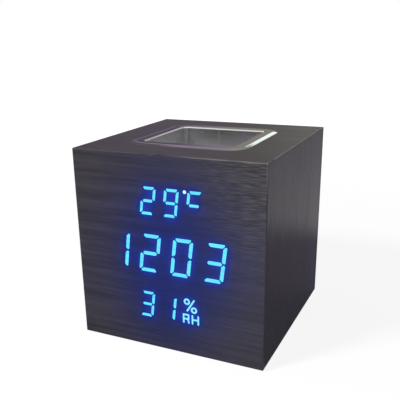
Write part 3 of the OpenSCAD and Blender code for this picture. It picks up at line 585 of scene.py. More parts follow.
@dataclass(frozen=True)
class Moulding(Finish):
    """Moulded plastic, rubber or resin with a fine eroded texture."""

    colour: Colour
    roughness: float = 0.5
    grain_rate: float = 1800.0
    relief: float = 0.25
    relief_depth: float = 0.05 * MM
    roughness_swing: float = 0.15
    cloud_rate: float = 60.0
    cloud_tint: float = 0.82

    def shade(self, bench: Bench) -> None:
        """Makes an even colour with a fine texture in tone, gloss and relief.

        Args:
            bench: the material's node tree.
        """
        grain = bench.noise(self.grain_rate, Texture.FINE)
        cloud = bench.noise(self.cloud_rate, Texture.SOFT)
        bench.surface(
            Base_Color=bench.mix(cloud, self.colour, tinted(self.colour, self.cloud_tint)),
            Roughness=self.roughness + grain * self.roughness_swing,
            Normal=bench.bump(grain, self.relief, self.relief_depth),
        )


@dataclass(frozen=True)
class PlatedSteel(Finish):
    """Zinc- or nickel-plated steel with fine drawing marks."""

    colour: Colour = (0.56, 0.56, 0.55)
    roughness: float = 0.3
    roughness_swing: float = 0.15
    mark_rates: Place = (1600.0, 1600.0, 250.0)
    mark_tint: float = 0.8
    relief: float = 0.15
    relief_depth: float = 0.03 * MM

    def marks(self, bench: Bench) -> Value:
        """Drawing marks, from 0 to 1."""
        return bench.noise(self.mark_rates, Texture.FINE)

    def shade(self, bench: Bench) -> None:
        """Makes metal with drawing marks.

        Args:
            bench: the material's node tree.
        """
        marks = self.marks(bench)
        bench.surface(
            Base_Color=bench.mix(marks, self.colour, tinted(self.colour, self.mark_tint)),
            Metallic=1.0,
            Roughness=self.roughness + marks * self.roughness_swing,
            Normal=bench.bump(marks, self.relief, self.relief_depth),
        )


@dataclass(frozen=True)
class CrossHead(PlatedSteel):
    """Plated countersunk screws that look down, each head with a cross recess."""

    relief: float = 0.8
    relief_depth: float = 0.5 * MM
    screw_place: Pair = (39.5 * MM, 22.0 * MM)
    face_span: Pair = (0.55 * MM, 0.6 * MM)
    arm_span: Pair = (1.44 * MM, 1.6 * MM)
    slot_span: Pair = (0.266 * MM, 0.38 * MM)
    # Painted shade: near black inside the cross recess.
    recess_shade: Colour = (0.02, 0.02, 0.02)
    recess_shade_dullness: float = 0.5
    hollow_roughness: float = 0.3

    def shade(self, bench: Bench) -> None:
        """Makes metal with a cross sunk into each head, painted dark as shade in the recess.

        Args:
            bench: the material's node tree.
        """
        x, y = (abs(abs(bench.axis(letter)) - at) for letter, at in zip("XY", self.screw_place))
        arms = [(1.0 - along.between(*self.arm_span)) * (1.0 - across.between(*self.slot_span))
                for along, across in ((x, y), (y, x))]
        head = 1.0 - bench.axis("Z").between(*self.face_span)
        # Painted shade in the recess, with bump for its depth.
        cross = sum(arms).clamped() * head
        shine = self.roughness + self.marks(bench) * self.roughness_swing
        bench.surface(
            Base_Color=bench.mix(cross, self.colour, self.recess_shade),
            Metallic=1.0 - cross * self.recess_shade_dullness,
            Roughness=shine + cross * self.hollow_roughness,
            Normal=bench.bump(1.0 - cross, self.relief, self.relief_depth),
        )


@dataclass(frozen=True)
class CellJacket(Finish):
    """Printed jacket of a dry cell: a sleeve, a dark band near the nub with a pale line, bare metal ends.

    The cells lie along X, the middle one the other way round.
    """

    sleeve: Colour = (0.16, 0.20, 0.04)
    band: Colour = (0.018, 0.019, 0.018)
    line: Colour = (0.62, 0.60, 0.54)
    metal: Colour = (0.60, 0.59, 0.56)
    flat_end: float = -18.9 * MM
    band_start: float = 12.0 * MM
    line_width: float = 0.8 * MM
    nub_end: float = 23.85 * MM
    soft_edge: float = 0.05 * MM
    middle_row: float = 5.55 * MM
    scuff_rates: Place = (90.0, 700.0, 700.0)
    scuff_span: Pair = (0.55, 0.75)
    roughness: float = 0.26
    roughness_swing: float = 0.2
    coat: float = 0.4
    relief: float = 0.1
    relief_depth: float = 0.03 * MM

    def shade(self, bench: Bench) -> None:
        """Makes a glossy print, scuffed a little, between two metal ends.

        Args:
            bench: the material's node tree.
        """
        along = bench.axis("X") * (abs(bench.axis("Y")).above(self.middle_row) * 2.0 - 1.0)
        starts = self.flat_end, self.band_start, self.band_start + self.line_width, self.nub_end
        jacket, band, line_end, nub = (along.between(at, at + self.soft_edge) for at in starts)
        ends = 1.0 - jacket + nub
        scuffs = bench.noise(self.scuff_rates, Texture.FINE).between(*self.scuff_span)
        printed = bench.mix(band - line_end, bench.mix(band, self.sleeve, self.band), self.line)
        bench.surface(
            Base_Color=bench.mix(ends, printed, self.metal),
            Metallic=ends,
            Roughness=self.roughness + scuffs * self.roughness_swing,
            Coat_Weight=self.coat - ends * self.coat,
            Normal=bench.bump(scuffs, self.relief, self.relief_depth),
        )


@dataclass(frozen=True)
class FibreBoard(Finish):
    """Bare pressed fibreboard with its flecks."""

    colour: Colour = (0.30, 0.20, 0.115)
    fleck: Colour = (0.17, 0.105, 0.055)
    fleck_rates: Place = (900.0, 900.0, 1400.0)
    fleck_span: Pair = (0.4, 0.68)
    roughness: float = 0.85
    relief: float = 0.3
    relief_depth: float = 0.1 * MM

    def shade(self, bench: Bench) -> None:
        """Makes it flecked, matt and slightly fuzzy.

        Args:
            bench: the material's node tree.
        """
        flecks = bench.noise(self.fleck_rates, Texture.CRUMBLY).between(*self.fleck_span)
        bench.surface(
            Base_Color=bench.mix(flecks, self.colour, self.fleck),
            Roughness=self.roughness,
            Normal=bench.bump(flecks, self.relief, self.relief_depth),
        )


@dataclass(frozen=True)
class SolderMask(Finish):
    """Green lacquered circuit board with copper tracks under the lacquer."""

    colour: Colour = (0.010, 0.085, 0.035)
    track: Colour = (0.022, 0.15, 0.06)
    track_rate: float = 240.0
    track_width: float = 0.05
    upright: Place = (math.radians(90), 0.0, 0.0)
    roughness: float = 0.3
    roughness_swing: float = 0.1
    relief: float = 0.2
    relief_depth: float = 0.04 * MM

    def shade(self, bench: Bench) -> None:
        """Draws square-cornered tracks a shade lighter than the board.

        Args:
            bench: the material's node tree.
        """
        place = bench.place((self.track_rate,) * 3, self.upright)
        tones = {"Color1": BLACK, "Color2": BLACK, "Mortar": WHITE}
        sockets = {"Vector": place, "Scale": 1.0, "Mortar Size": self.track_width, **tones}
        bricks = bench.node("ShaderNodeTexBrick", {"offset": 0.5, "squash": 1.0}, sockets)
        tracks = Value(bench, bricks.outputs["Fac"])
        bench.surface(
            Base_Color=bench.mix(tracks, self.colour, self.track),
            Roughness=self.roughness + tracks * self.roughness_swing,
            Normal=bench.bump(tracks, self.relief, self.relief_depth),
        )


class Meshes:
    """Small shared steps of mesh making."""

    @staticmethod
    def linked(name: str, bm: Shape) -> Piece:
        """Makes an object of the scene from a bmesh.

        Args:
            name: the object's name.
            bm: its shape, in metres in the frame; it is freed here.

        Returns:
            The new object.
        """
        mesh = bpy.data.meshes.new(name)
        bm.to_mesh(mesh)
        bm.free()
        made = bpy.data.objects.new(name, mesh)
        bpy.context.scene.collection.objects.link(made)
        return made

    @staticmethod
    def piece(name: str, bm: Shape, sharp: float = SHARP) -> Piece:
        """Makes a piece of the object, which rides on the case.

        Args:
            name: the piece's name.
            bm: its shape, which is freed here.
            sharp: the angle from which an edge stays sharp.

        Returns:
            The new piece, smooth-shaded.
        """
        made = Meshes.linked(name, bm)
        made.data.shade_smooth()
        made.data.set_sharp_from_angle(angle=sharp)
        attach(made, CASE_BODY)
        return made

    @staticmethod
    def prop(name: str, bm: Shape) -> Piece:
        """Makes a studio prop.

        Args:
            name: the prop's name.
            bm: its shape, which is freed here.

        Returns:
            The new prop.
        """
        made = Meshes.linked(name, bm)
        made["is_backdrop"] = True
        return made

    @staticmethod
    def copied(node: str) -> Shape:
        """Copies the mesh of a CAD node.

        Args:
            node: the node's name.

        Returns:
            The copy, with its loose triangles joined.
        """
        bm = bmesh.new()
        bm.from_mesh(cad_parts[node].data)
        bmesh.ops.remove_doubles(bm, verts=bm.verts, dist=WELD)
        return bm

    @staticmethod
    def plate(bm: Shape, middle: Vector, wide: Vector, tall: Vector) -> list[bmesh.types.BMVert]:
        """Adds one flat face with four corners.

        Args:
            bm: the mesh that gets it.
            middle: its middle.
            wide: its one side, in length and direction.
            tall: its other side.

        Returns:
            Its corners.
        """
        spread = Matrix((wide, tall, wide.cross(tall))).transposed().to_4x4()
        made = bmesh.ops.create_grid(bm, x_segments=1, y_segments=1, size=0.5,
                                     matrix=Matrix.Translation(middle) @ spread)
        return made["verts"]

    @staticmethod
    def round_off(bm: Shape, corners: list[bmesh.types.BMVert], radius: float, steps: int) -> None:
        """Rounds corners of an outline."""
        bmesh.ops.bevel(bm, geom=corners, offset=radius, offset_type="OFFSET", affect="VERTICES",
                        segments=steps, profile=0.5, material=-1)

    @staticmethod
    def only(kind: type, parts: list) -> list:
        """The parts of one kind, of all that an operator gives back."""
        return [part for part in parts if isinstance(part, kind)]

    @staticmethod
    def fill(bm: Shape) -> None:
        """Closes each open rim with a face."""
        bmesh.ops.holes_fill(bm, edges=[e for e in bm.edges if e.is_boundary], sides=0)

    @staticmethod
    def close(bm: Shape) -> None:
        """Merges doubles and turns all faces outwards."""
        bmesh.ops.remove_doubles(bm, verts=bm.verts, dist=WELD)
        bmesh.ops.recalc_face_normals(bm, faces=bm.faces)


@dataclass
class PenCup:
    """Chrome-plated cup: a square mouth with round corners, a flat rim and a bevel down to the wood."""

    mouth: float = 48.4 * MM
    mouth_r: float = 2.8 * MM
    flat: float = 5.2 * MM
    bevel: float = 2.0 * MM
    rise: float = 0.55 * MM
    lip_r: float = 1.0 * MM
    crest_r: float = 0.5 * MM
    wall: float = 1.6 * MM
    draft: float = 1.0 * MM
    floor: float = 2.0 * MM
    floor_r: float = 1.2 * MM
    round_steps: int = 6
    corner_steps: int = 14
    node: str = "pen_cup"

    @property
    def axis(self) -> float:
        """Where the axis of a corner stands, in X and in Y."""
        return self.mouth / 2 - self.mouth_r

    def section(self, bm: Shape) -> None:
        """Draws the wall and rim in section, at a corner's axis, with its edges rounded.

        Args:
            bm: the mesh that gets it.
        """
        low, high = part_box(self.node)
        top = high.z
        wood = top - self.rise
        foot_r = self.mouth_r - self.draft
        outline = [
            (0.0, low.z + self.floor, 0.0),
            (foot_r, low.z + self.floor, self.floor_r),
            (self.mouth_r, top, self.lip_r),
            (self.mouth_r + self.flat, top, self.crest_r),
            (self.mouth_r + self.flat + self.bevel, wood, 0.0),
            (self.mouth_r + self.wall, wood, 0.0),
            (foot_r + self.wall, low.z, self.floor_r),
            (0.0, low.z, 0.0),
        ]
        corners = [bm.verts.new((self.axis + out, self.axis, up)) for out, up, _ in outline]
        for pair in pairwise(corners):
            bm.edges.new(pair)
        for corner, (_, _, radius) in zip(corners, outline):
            if radius:
                Meshes.round_off(bm, [corner], radius, self.round_steps)

    def build(self) -> Piece:
        """Spins the section round a corner, runs it along a side, and repeats that four times.

        Returns:
            The cup, which stands for its CAD node.
        """
        bm = bmesh.new()
        self.section(bm)
        turned = bmesh.ops.spin(bm, geom=bm.verts[:] + bm.edges[:], cent=(self.axis, self.axis, 0.0),
                                axis=UP, dvec=ORIGIN, angle=math.radians(90), steps=self.corner_steps,
                                use_merge=False, use_duplicate=False)
        run = bmesh.ops.extrude_edge_only(bm, edges=Meshes.only(bmesh.types.BMEdge, turned["geom_last"]))
        moved = Meshes.only(bmesh.types.BMVert, run["geom"])
        bmesh.ops.translate(bm, vec=(-2 * self.axis, 0.0, 0.0), verts=moved)
        bmesh.ops.spin(bm, geom=bm.verts[:] + bm.edges[:] + bm.faces[:], cent=ORIGIN, axis=UP, dvec=ORIGIN,
                       angle=math.radians(270), steps=3, use_merge=False, use_duplicate=True)
        bmesh.ops.remove_doubles(bm, verts=bm.verts, dist=WELD)
        Meshes.fill(bm)
        Meshes.close(bm)
        made = Meshes.piece("pen_cup_chrome", bm)
        weighted = made.modifiers.new("flat_faces", "WEIGHTED_NORMAL")
        weighted.mode = "FACE_AREA"
        weighted.keep_sharp = True
        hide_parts(self.node)
        return made

    def dress(self, made: Piece) -> None:
        """Plates the cup."""
        ChromePlate("chrome_plate").dress(made)


@dataclass
class WoodCase:
    """Mitred boards of the case, and the front veneer with the glow of the display in it."""

    fine_pitch: float = 0.8 * MM
    fine_margin: float = 6.0 * MM
    coarse_pitch: float = 4.0 * MM
    cut_gap: float = 0.0001 * MM
    cell: float = 0.7 * MM
    ray_start: float = 1.0 * MM
    ray_length: float = 1.1 * MM
    batches: int = 32
    veneer: str = "front_veneer"

    def cuts(self, low: float, high: float, fine_low: float, fine_high: float) -> list[float]:
        """Places the grid lines along one axis.

        Args:
            low: lower edge of the face.
            high: upper edge of the face.
            fine_low: where the fine grid starts.
            fine_high: where it ends.

        Returns:
            The places, from low to high.
        """
        pitches = self.coarse_pitch, self.fine_pitch, self.coarse_pitch
        places = []
        for (start, end), pitch in zip(pairwise((low, fine_low, fine_high, high)), pitches):
            steps = max(1, round((end - start) / pitch))
            places += [start + (end - start) * i / steps for i in range(steps)]
        return places

    def lit_cells(self, lit: dict[Piece, Pair], face: float) -> np.ndarray:
        """Finds which small squares of the front face lie over something lit.

        Args:
            lit: the lit guides and signs, each with its brightness close by and far off.
            face: where the front face lies, in Y.

        Returns:
            The squares' middles, in X and Z, each with its brightness close by and far off.
        """
        found = []
        for piece, brightness in lit.items():
            glowing = bmesh.new()
            glowing.from_mesh(piece.data)
            tree = BVHTree.FromBMesh(glowing)
            spans = [[v.co[i] for v in glowing.verts] for i in (0, 2)]
            glowing.free()
            columns, rows = (np.arange(min(span), max(span), self.cell) for span in spans)
            found += [(x, z, *brightness) for x in columns for z in rows
                      if tree.ray_cast((x, face - self.ray_start, z), BACK, self.ray_length)[0]]
        return np.array(found)

    def spread_glow(self, mesh: bpy.types.Mesh, cells: np.ndarray) -> None:
        """Notes at each point of the mesh how much light reaches it from the lit squares.

        Args:
            mesh: the veneer's mesh.
            cells: the squares, as lit_cells gives them.
        """
        points = np.empty(len(mesh.vertices) * 3)
        mesh.vertices.foreach_get("co", points)
        flat = points.reshape(-1, 3)[:, ::2]
        for glow, brightness in zip(Glow, cells[:, 2:].T):
            sums = []
            for part in np.array_split(flat, self.batches):
                squares = ((part[:, None] - cells[:, :2]) ** 2).sum(axis=2)
                sums.append(np.exp(-squares / glow.value ** 2) @ brightness)
            light = mesh.attributes.new(glow.name.lower(), "FLOAT", "POINT")
            light.data.foreach_set("value", np.concatenate(sums) * (self.cell / MM) ** 2)

    def build(self, lit: dict[Piece, Pair]) -> Piece:
        """Copies the veneer, cuts its face into a grid and notes the light that reaches it there.

        Args:
            lit: the lit guides and signs, each with its brightness close by and far off.

        Returns:
            The veneer, which stands for its CAD node.
        """
        bm = Meshes.copied(self.veneer)
        low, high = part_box(self.veneer)
        cells = self.lit_cells(lit, low.y)
        for i, places, normal in ((0, cells[:, 0], Vector(RIGHT)), (2, cells[:, 1], Vector(UP))):
            fine = places.min() - self.fine_margin, places.max() + self.fine_margin
            for at in self.cuts(low[i], high[i], *fine):
                bmesh.ops.bisect_plane(bm, geom=bm.verts[:] + bm.edges[:] + bm.faces[:], dist=self.cut_gap,
                                       plane_co=normal * at, plane_no=normal)
        made = Meshes.piece("front_veneer_lit", bm)
        self.spread_glow(made.data, cells)
        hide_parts(self.veneer)
        return made

    def dress(self, made: Piece) -> None:
        """Gives the veneer and boards their grain, which runs across the front and up the sides.

        Painted light: the front, back and top have paler copies of the sides' stain, for how light falls on
        each.

        Args:
            made: the veneer.
        """
        # Painted light: paler stain on the front, back and top than on the sides, for how light falls.
        LitVeneer("veneer_front", Grain.ACROSS, (0.028, 0.0255, 0.027), (0.058, 0.0534, 0.0552)).dress(made)
        sides = WoodFilm("film_sides", Grain.UP, streak_share=0.6, relief=0.13, roughness=0.17,
                         roughness_swing=0.14)
        sides.dress("left_panel", "right_panel")
        back = WoodFilm("film_back", Grain.ACROSS, (0.022, 0.020, 0.0215), (0.058, 0.053, 0.055))
        back.dress("back_panel")
        top = WoodFilm("film_top", Grain.ACROSS, (0.022, 0.0185, 0.021), (0.070, 0.0595, 0.066),
                       streak_share=0.6, relief=0.08)
        top.dress("top_panel")
        FibreBoard("fibreboard").dress("front_panel", "base_cleats")


@dataclass(frozen=True)
class Stroke:
    """A line of a lit sign, drawn on the front face between points in X and Z in mm, with round ends."""

    start: Pair
    end: Pair
    width: float = 0.85 * MM
    round_steps: int = 4

    def draw(self, bm: Shape, face: float) -> None:
        """Adds the line as a flat plate, with its corners rounded until the ends are half circles.

        Args:
            bm: the mesh that gets it.
            face: where the flat face lies, in Y.
        """
        start, end = (Vector((x * MM, face, z * MM)) for x, z in (self.start, self.end))
        way = (end - start).normalized()
        wide = end - start + way * self.width
        tall = way.cross(Vector(BACK)) * self.width
        corners = Meshes.plate(bm, (start + end) / 2, wide, tall)
        Meshes.round_off(bm, corners, self.width / 2, self.round_steps)


@dataclass(frozen=True)
class Ring:
    """A round ring of a lit sign, drawn on the front face about a point in X and Z in mm."""

    centre: Pair
    radius: float = 1.22 * MM
    width: float = 0.92 * MM
    steps: int = 32

    def draw(self, bm: Shape, face: float) -> None:
        """Adds the ring as flat faces.

        Args:
            bm: the mesh that gets it.
            face: where the flat faces lie, in Y.
        """
        middle = Vector((self.centre[0] * MM, face, self.centre[1] * MM))
        radii = [self.radius + self.width * half for half in (-0.5, 0.5)]
        ends = [bm.verts.new(middle + Vector(RIGHT) * radius) for radius in radii]
        bmesh.ops.spin(bm, geom=[*ends, bm.edges.new(ends)], cent=middle, axis=BACK, dvec=ORIGIN,
                       angle=math.tau, steps=self.steps, use_merge=True, use_duplicate=False)


@dataclass(frozen=True)
class DigitRow:
    """A row of lit digits: its CAD node, how it lights the veneer close by and far off, its rim's light."""

    node: str
    brightness: Pair
    rim: Pair
    rim_width: float = 0.25 * MM
    flat_angle: float = math.radians(1)
    face_gap: float = 0.01 * MM

    def build(self) -> Piece:
        """Copies the guides and draws a rim round each front face, which is dim along its two long sides.

        Returns:
            The guides, which stand for their CAD node.
        """
        bm = Meshes.copied(self.node)
        inward = bm.verts.layers.float.new(INWARD)
        bmesh.ops.dissolve_limit(bm, angle_limit=self.flat_angle, verts=bm.verts, edges=bm.edges)
        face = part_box(self.node)[0].y
        front = [f for f in bm.faces if all(abs(v.co.y - face) < self.face_gap for v in f.verts)]
        bright = set()
        for f in front:
            sides = sorted(f.edges, key=bmesh.types.BMEdge.calc_length)[-2:]
            bright |= set(f.verts) - {v for side in sides for v in side.verts}
        bmesh.ops.inset_individual(bm, faces=front, thickness=self.rim_width, use_even_offset=True)
        for vert in bright | {v for f in front for v in f.verts}:
            vert[inward] = 1.0
        made = Meshes.piece(f"{self.node}_lit", bm)
        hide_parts(self.node)
        return made


@dataclass
class Display:
    """Lit and idle light guides, with the humidity sign on the face of the veneer."""

    proud: float = 0.06 * MM
    rows: tuple[DigitRow, ...] = (
        DigitRow("time_segments", (1.0, 1.0), (0.0, 0.18)),
        DigitRow("temperature_segments", (1.3, 0.9), (0.12, 0.76)),
        DigitRow("humidity_segments", (1.05, 1.7), (0.12, 0.76)),
    )
    sign_brightness: Pair = (1.5, 1.3)
    percent: tuple[Stroke | Ring, ...] = (
        Ring((10.8, 29.3)),
        Ring((14.55, 25.25)),
        Stroke((10.95, 24.5), (14.6, 30.4)),
    )
    letters: tuple[Stroke, ...] = (
        Stroke((8.9, 18.0), (8.9, 22.25)),
        Stroke((8.95, 22.25), (11.5, 22.25)),
        Stroke((11.55, 22.2), (11.55, 20.05)),
        Stroke((8.95, 20.0), (11.5, 20.0)),
        Stroke((11.2, 20.05), (11.7, 18.0)),
        Stroke((13.65, 18.0), (13.65, 22.2)),
        Stroke((16.75, 18.0), (16.75, 22.2)),
        Stroke((13.65, 20.15), (16.75, 20.15)),
    )

    def sign(self, name: str, lines: tuple[Stroke | Ring, ...]) -> Piece:
        """Makes a lit sign that lies thinly on the front face.

        Args:
            name: the piece's name.
            lines: what it is drawn with.

        Returns:
            The sign.
        """
        bm = bmesh.new()
        for line in lines:
            line.draw(bm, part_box("front_veneer")[0].y - self.proud)
        grown = bmesh.ops.extrude_face_region(bm, geom=bm.faces[:], use_keep_orig=True)
        moved = Meshes.only(bmesh.types.BMVert, grown["geom"])
        bmesh.ops.translate(bm, vec=(0.0, 2 * self.proud, 0.0), verts=moved)
        Meshes.close(bm)
        made = Meshes.piece(name, bm)
        return made

    def build(self) -> list[Piece]:
        """Makes the rows of digits, then the two lines of the humidity sign."""
        signs = ("sign_percent", self.percent), ("sign_letters", self.letters)
        return [row.build() for row in self.rows] + [self.sign(name, lines) for name, lines in signs]

    def brightness(self, made: list[Piece]) -> dict[Piece, Pair]:
        """All that is lit, with how it lights the veneer close by and far off."""
        rows = [row.brightness for row in self.rows]
        return dict(zip(made, rows + [self.sign_brightness] * len(made)))

    def dress(self, made: list[Piece]) -> None:
        """Lights the rows and signs, and finishes what lies around them.

        Args:
            made: the rows, then the signs.
        """
        for row, piece in zip(self.rows, made):
            LitGuide(f"{row.node}_light", rim=row.rim).dress(piece)
        LitGuide("lens_light").dress("sign_lens")
        sign = LitGuide("sign_lit", core=(0.26, 0.79, 1.0), streak=(0.20, 0.69, 0.98))
        sign.dress(*made[len(self.rows):])
        Moulding("guide_idle", (0.70, 0.71, 0.69), 0.35).dress("idle_segments", "led_chips")
        Moulding("reflector_white", (0.78, 0.78, 0.76), 0.45).dress("display_housing")


@dataclass
class Insides:
    """Circuit boards, parts and wiring behind the display and the keys."""

    boards: tuple[str, ...] = ("display_board", "key_board")
    steel: tuple[str, ...] = ("display_screws", "key_board_screws", "crystal", "power_socket")
    black: tuple[str, ...] = ("clock_chip", "key_switches", "buzzer")
    nylon: tuple[str, ...] = ("display_connector", "key_connector", "key_board_spacers", "climate_sensor",
                              "set_plunger", "up_plunger", "down_plunger")

    def dress(self) -> None:
        """Finishes the boards and what they carry."""
        SolderMask("solder_mask").dress(*self.boards)
        PlatedSteel("zinc_steel").dress(*self.steel)
        Moulding("chip_black", (0.018, 0.018, 0.020), 0.45).dress(*self.black)
        Moulding("nylon_white", (0.72, 0.72, 0.68), 0.5).dress(*self.nylon)
        Moulding("ribbon_grey", (0.42, 0.42, 0.43), 0.5).dress("ribbon_cable")
        Moulding("lead_red", (0.40, 0.02, 0.02), 0.45).dress("battery_leads")


@dataclass
class BatteryBase:
    """Base plate with battery bay, door, feet, cells and contacts, and the keys of the same plastic."""

    springs: str = "battery_springs"
    spring_length: float = 6.0 * MM
    spring_turns: int = 4
    wire: float = 0.6 * MM
    wire_sharp: float = math.radians(60)
    row_pitch: float = 11.1 * MM
    turn_steps: int = 28
    wire_sides: int = 10
    black: tuple[str, ...] = ("base_plate", "battery_door", "set_button", "up_button", "down_button")

    def spring(self, bm: Shape, start: Vector, radius: float) -> None:
        """Winds one contact spring along +X.

        Args:
            bm: the mesh that gets it.
            start: middle of its first end.
            radius: from its axis to the middle of the wire.
        """
        first = Matrix.Translation(start + Vector((self.wire / 2, radius, 0.0)))
        ring = bmesh.ops.create_circle(bm, cap_ends=False, radius=self.wire / 2, segments=self.wire_sides,
                                       matrix=first)
        edges = list({edge for vert in ring["verts"] for edge in vert.link_edges})
        steps = self.spring_turns * self.turn_steps
        advance = (self.spring_length - self.wire) / steps
        bmesh.ops.spin(bm, geom=ring["verts"] + edges, cent=start, axis=RIGHT, dvec=(advance, 0.0, 0.0),
                       angle=math.tau * self.spring_turns, steps=steps,
                       use_merge=False, use_duplicate=False)

    def build(self) -> Piece:
        """Winds the three springs smoothly, one at the flat end of each cell.

        Returns:
            The springs, which stand for their CAD node.
        """
        low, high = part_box(self.springs)
        level = (low.z + high.z) / 2
        radius = (high.z - low.z - self.wire) / 2
        bm = bmesh.new()
        for row, left in ((-1, low.x), (0, high.x - self.spring_length), (1, low.x)):
            self.spring(bm, Vector((left, row * self.row_pitch, level)), radius)
        Meshes.fill(bm)
        Meshes.close(bm)
        made = Meshes.piece("battery_springs_wound", bm, self.wire_sharp)
        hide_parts(self.springs)
        return made

    def dress(self, springs: Piece) -> None:
        """Finishes the base, what it holds and the keys.

        Args:
            springs: the contact springs.
        """
        Moulding("black_plastic", (0.014, 0.014, 0.0155), 0.42, relief=0.4).dress(*self.black)
        rubber = Moulding("foot_rubber", (0.024, 0.024, 0.026), 0.75, grain_rate=1200.0, relief=0.6)
        rubber.dress("foot_pads")
        CrossHead("cross_head_screws").dress("base_screws")
        CellJacket("cell_jacket").dress("battery_cells")
        nickel = PlatedSteel("nickel_contacts", (0.62, 0.59, 0.52), 0.25)
        nickel.dress(springs, "contact_bridges", "contact_terminals")


@dataclass(frozen=True)
class Card(Finish):
    """A flat card, upright or level, with its own light, which shows only in reflections."""

    low: Place
    high: Place
    foot: Colour
    head: Colour | None = None
    fade: Pair = (0.0, 0.0)

    def shade(self, bench: Bench) -> None:
        """Gives it its tones at the foot and the head, faded out at its sides and at its ends.

        Args:
            bench: the card's node tree.
        """
        axis = 2 if self.high[2] > self.low[2] else 1
        along = bench.axis("XYZ"[axis]).between(self.low[axis], self.high[axis])
        tone = bench.mix(along, self.foot, self.head or self.foot)
        lit = bench.node("ShaderNodeEmission", {}, {"Color": tone, "Strength": 1.0})
        clear = bench.node("ShaderNodeBsdfTransparent")
        for i, fade in zip((0, axis), self.fade):
            if fade:
                low, high, at = self.low[i], self.high[i], bench.axis("XYZ"[i])
                shown = at.between(low, low + fade) * (1.0 - at.between(high - fade, high))
                lit = bench.blend(shown, clear, lit)
        bench.end(lit)

    def build(self) -> None:
        """Makes the card."""
        low, high = Vector(self.low), Vector(self.high)
        wide = (high - low).project(Vector(RIGHT))
        bm = bmesh.new()
        Meshes.plate(bm, (low + high) / 2, wide, high - low - wide)
        made = Meshes.prop(self.name, bm)
        for ray in ("camera", "diffuse", "transmission", "volume_scatter", "shadow"):
            setattr(made, f"visible_{ray}", False)
        self.dress(made)


@dataclass(frozen=True)
class PaleFloor(Finish):
    """A pale floor that looks white and keeps the object's shadow, clear from below and under the object.

    In reflections it is brighter in front of the object's right half, as under a lamp there.
    """

    side: float = 12.0
    drop: float = 0.05 * MM
    matt: Colour = (0.85, 0.85, 0.85)
    white_share: float = 0.75
    white_level: float = 1.18
    white_span: Pair = (0.2, 0.8)
    hidden_half: float = 49.5 * MM
    pool_slope: float = 0.428
    pool_span: Pair = (0.022, 0.062)
    pool_front: Pair = (0.04, 0.07)

    def shade(self, bench: Bench) -> None:
        """Makes it white to the camera, and matt for the light.

        Args:
            bench: the floor's node tree.
        """
        x, y = bench.axis("X"), bench.axis("Y")
        far = x.distance(y).between(*self.white_span)
        pool = (x - y * self.pool_slope).between(*self.pool_span) * (-y).between(*self.pool_front)
        seen = bench.rays("Camera", "Transmission") * (self.white_share + far * (1.0 - self.white_share))
        matt = bench.node("ShaderNodeBsdfDiffuse", {}, {"Color": self.matt})
        white = bench.node("ShaderNodeEmission", {}, {"Color": WHITE, "Strength": self.white_level})
        both = bench.blend(seen + bench.rays("Glossy") * pool, matt, white)
        below = Value(bench, bench.node("ShaderNodeNewGeometry").outputs["Backfacing"])
        under = abs(x).below(self.hidden_half) * abs(y).below(self.hidden_half)
        clear = bench.node("ShaderNodeBsdfTransparent")
        bench.end(bench.blend((below + under).clamped(), both, clear))

    def build(self) -> None:
        """Lays the floor just under the object."""
        bm = bmesh.new()
        Meshes.plate(bm, Vector(UP) * -self.drop, Vector(RIGHT) * self.side, Vector(BACK) * self.side)
        self.dress(Meshes.prop("floor", bm))


@dataclass(frozen=True)
class Lamp:
    """A soft square lamp that leaves no glare on what shines, and may light the object alone."""

    name: str
    place: Place
    size: float
    watts: float
    colour: Colour = WHITE
    object_only: bool = False

    def build(self, aim: Vector) -> None:
        """Hangs the lamp.

        Args:
            aim: the point that it faces.
        """
        light = bpy.data.lights.new(self.name, "AREA")
        light.shape = "SQUARE"
        light.size = self.size
        light.energy = self.watts
        light.color = self.colour
        made = bpy.data.objects.new(self.name, light)
        bpy.context.scene.collection.objects.link(made)
        facing = (aim - Vector(self.place)).to_track_quat("-Z", "Y").to_matrix().to_4x4()
        made.matrix_world = Matrix.Translation(self.place) @ facing
        made.visible_glossy = False
        if self.object_only:
            lit = bpy.data.collections.new(f"lit_by_{self.name}")
            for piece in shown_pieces():
                lit.objects.link(piece)
            made.light_linking.receiver_collection = lit


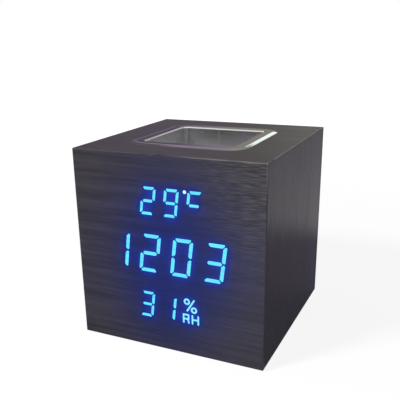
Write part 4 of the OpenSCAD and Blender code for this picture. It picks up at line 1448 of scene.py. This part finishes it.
@dataclass
class Studio:
    """Pale floor, soft light, cards for the chrome to reflect, and the photograph's camera."""

    eye: Place = (123.518 * MM, -279.878 * MM, 154.55 * MM)
    azimuth: float = 26.037
    elevation: float = 18.69
    roll: float = -1.228
    focal_px: float = 584.503
    centre_px: Pair = (186.0, 226.0)
    image_px: float = 400.0
    sensor: float = 36.0
    nearest: float = 10.0 * MM
    aim: Place = (0.0, 0.0, 50.0 * MM)
    ambient: float = 0.2
    ambient_tint: Colour = (0.95, 0.87, 1.18)
    cards: tuple[Card, ...] = (
        Card("back", (-2.2, 1.40, 0.0), (2.2, 1.40, 1.9), (0.225, 0.222, 0.170), (0.34, 0.32, 0.285)),
        Card("back_left", (-1.6, 1.395, 0.0), (-0.40, 1.395, 1.9), (0.345, 0.285, 0.470),
             (0.26, 0.22, 0.245), (0.4, 0.0)),
        Card("far_left", (-2.3, 1.39, 0.0), (-0.95, 1.39, 1.9), (0.115, 0.095, 0.125),
             (0.12, 0.10, 0.12), (0.12, 0.0)),
        Card("left_band", (-2.3, 1.38, 0.27), (-0.45, 1.38, 0.47), (0.098, 0.080, 0.112), fade=(0.3, 0.04)),
        Card("back_strip", (-0.37, 1.36, 0.39), (0.50, 1.36, 0.59), (1.04, 1.13, 1.10)),
        Card("back_window", (0.0, 1.33, 0.58), (0.62, 1.33, 0.87), (0.75, 0.70, 0.68)),
        Card("ceiling", (-1.6, -1.0, 1.9), (1.6, 1.4, 1.9), (0.42, 0.385, 0.33)),
    )
    lamps: tuple[Lamp, ...] = (
        Lamp("key_lamp", (-0.85, -1.15, 1.20), 0.36, 21.0, (1.0, 0.97, 0.90)),
        Lamp("back_lamp", (-0.90, 1.10, 0.90), 0.50, 10.0, (0.91, 0.88, 0.93), object_only=True),
        Lamp("under_lamp", (0.35, -0.45, -0.60), 0.40, 5.0),
    )

    def world(self) -> None:
        """Makes the world white where it is seen, and a plain soft light where it lights."""
        made = bpy.data.worlds.new("studio")
        made.use_nodes = True
        bpy.context.scene.world = made
        bench = Bench(made.node_tree)
        lights = (self.ambient_tint, self.ambient), (WHITE, 1.0)
        soft, white = (bench.node("ShaderNodeBackground", {}, {"Color": colour, "Strength": strength})
                       for colour, strength in lights)
        seen = bench.rays("Camera", "Glossy", "Transmission")
        bench.end(bench.blend(seen, soft, white), "World")

    def camera(self) -> None:
        """Sets up the camera as solved from the case's corners in the photograph."""
        turn, tilt, lean = (math.radians(a) for a in (self.azimuth, self.elevation, self.roll))
        back = Vector((math.sin(turn) * math.cos(tilt), -math.cos(turn) * math.cos(tilt), math.sin(tilt)))
        level = Vector((math.cos(turn), math.sin(turn), 0.0))
        rise = back.cross(level)
        right = level * math.cos(lean) + rise * math.sin(lean)
        up = rise * math.cos(lean) - level * math.sin(lean)
        data = bpy.data.cameras.new("photo_camera")
        data.sensor_width = self.sensor
        data.lens = self.focal_px / self.image_px * self.sensor
        data.shift_x = (self.image_px / 2 - self.centre_px[0]) / self.image_px
        data.shift_y = (self.centre_px[1] - self.image_px / 2) / self.image_px
        data.clip_start = self.nearest
        made = bpy.data.objects.new("photo_camera", data)
        bpy.context.scene.collection.objects.link(made)
        made.matrix_world = Matrix.Translation(self.eye) @ Matrix((right, up, back)).transposed().to_4x4()
        bpy.context.scene.camera = made

    def build(self) -> None:
        """Sets up the world, floor, cards, lamps and camera, once all pieces are there to be lit."""
        bpy.context.scene.view_settings.view_transform = "Standard"
        self.world()
        PaleFloor("pale_floor").build()
        for card in self.cards:
            card.build()
        for lamp in self.lamps:
            lamp.build(Vector(self.aim))
        self.camera()


def main() -> None:
    """Builds and dresses each sub-assembly, then the studio."""
    logging.basicConfig(level=logging.INFO, format="%(name)s: %(message)s")
    cup = PenCup()
    cup.dress(cup.build())
    display = Display()
    lit = display.build()
    display.dress(lit)
    case = WoodCase()
    case.dress(case.build(display.brightness(lit)))
    Insides().dress()
    base = BatteryBase()
    base.dress(base.build())
    Studio().build()
    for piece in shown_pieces():
        LOG.info("%s: %d faces", piece.name, len(piece.data.polygons))


if __name__ == "__main__":
    main()
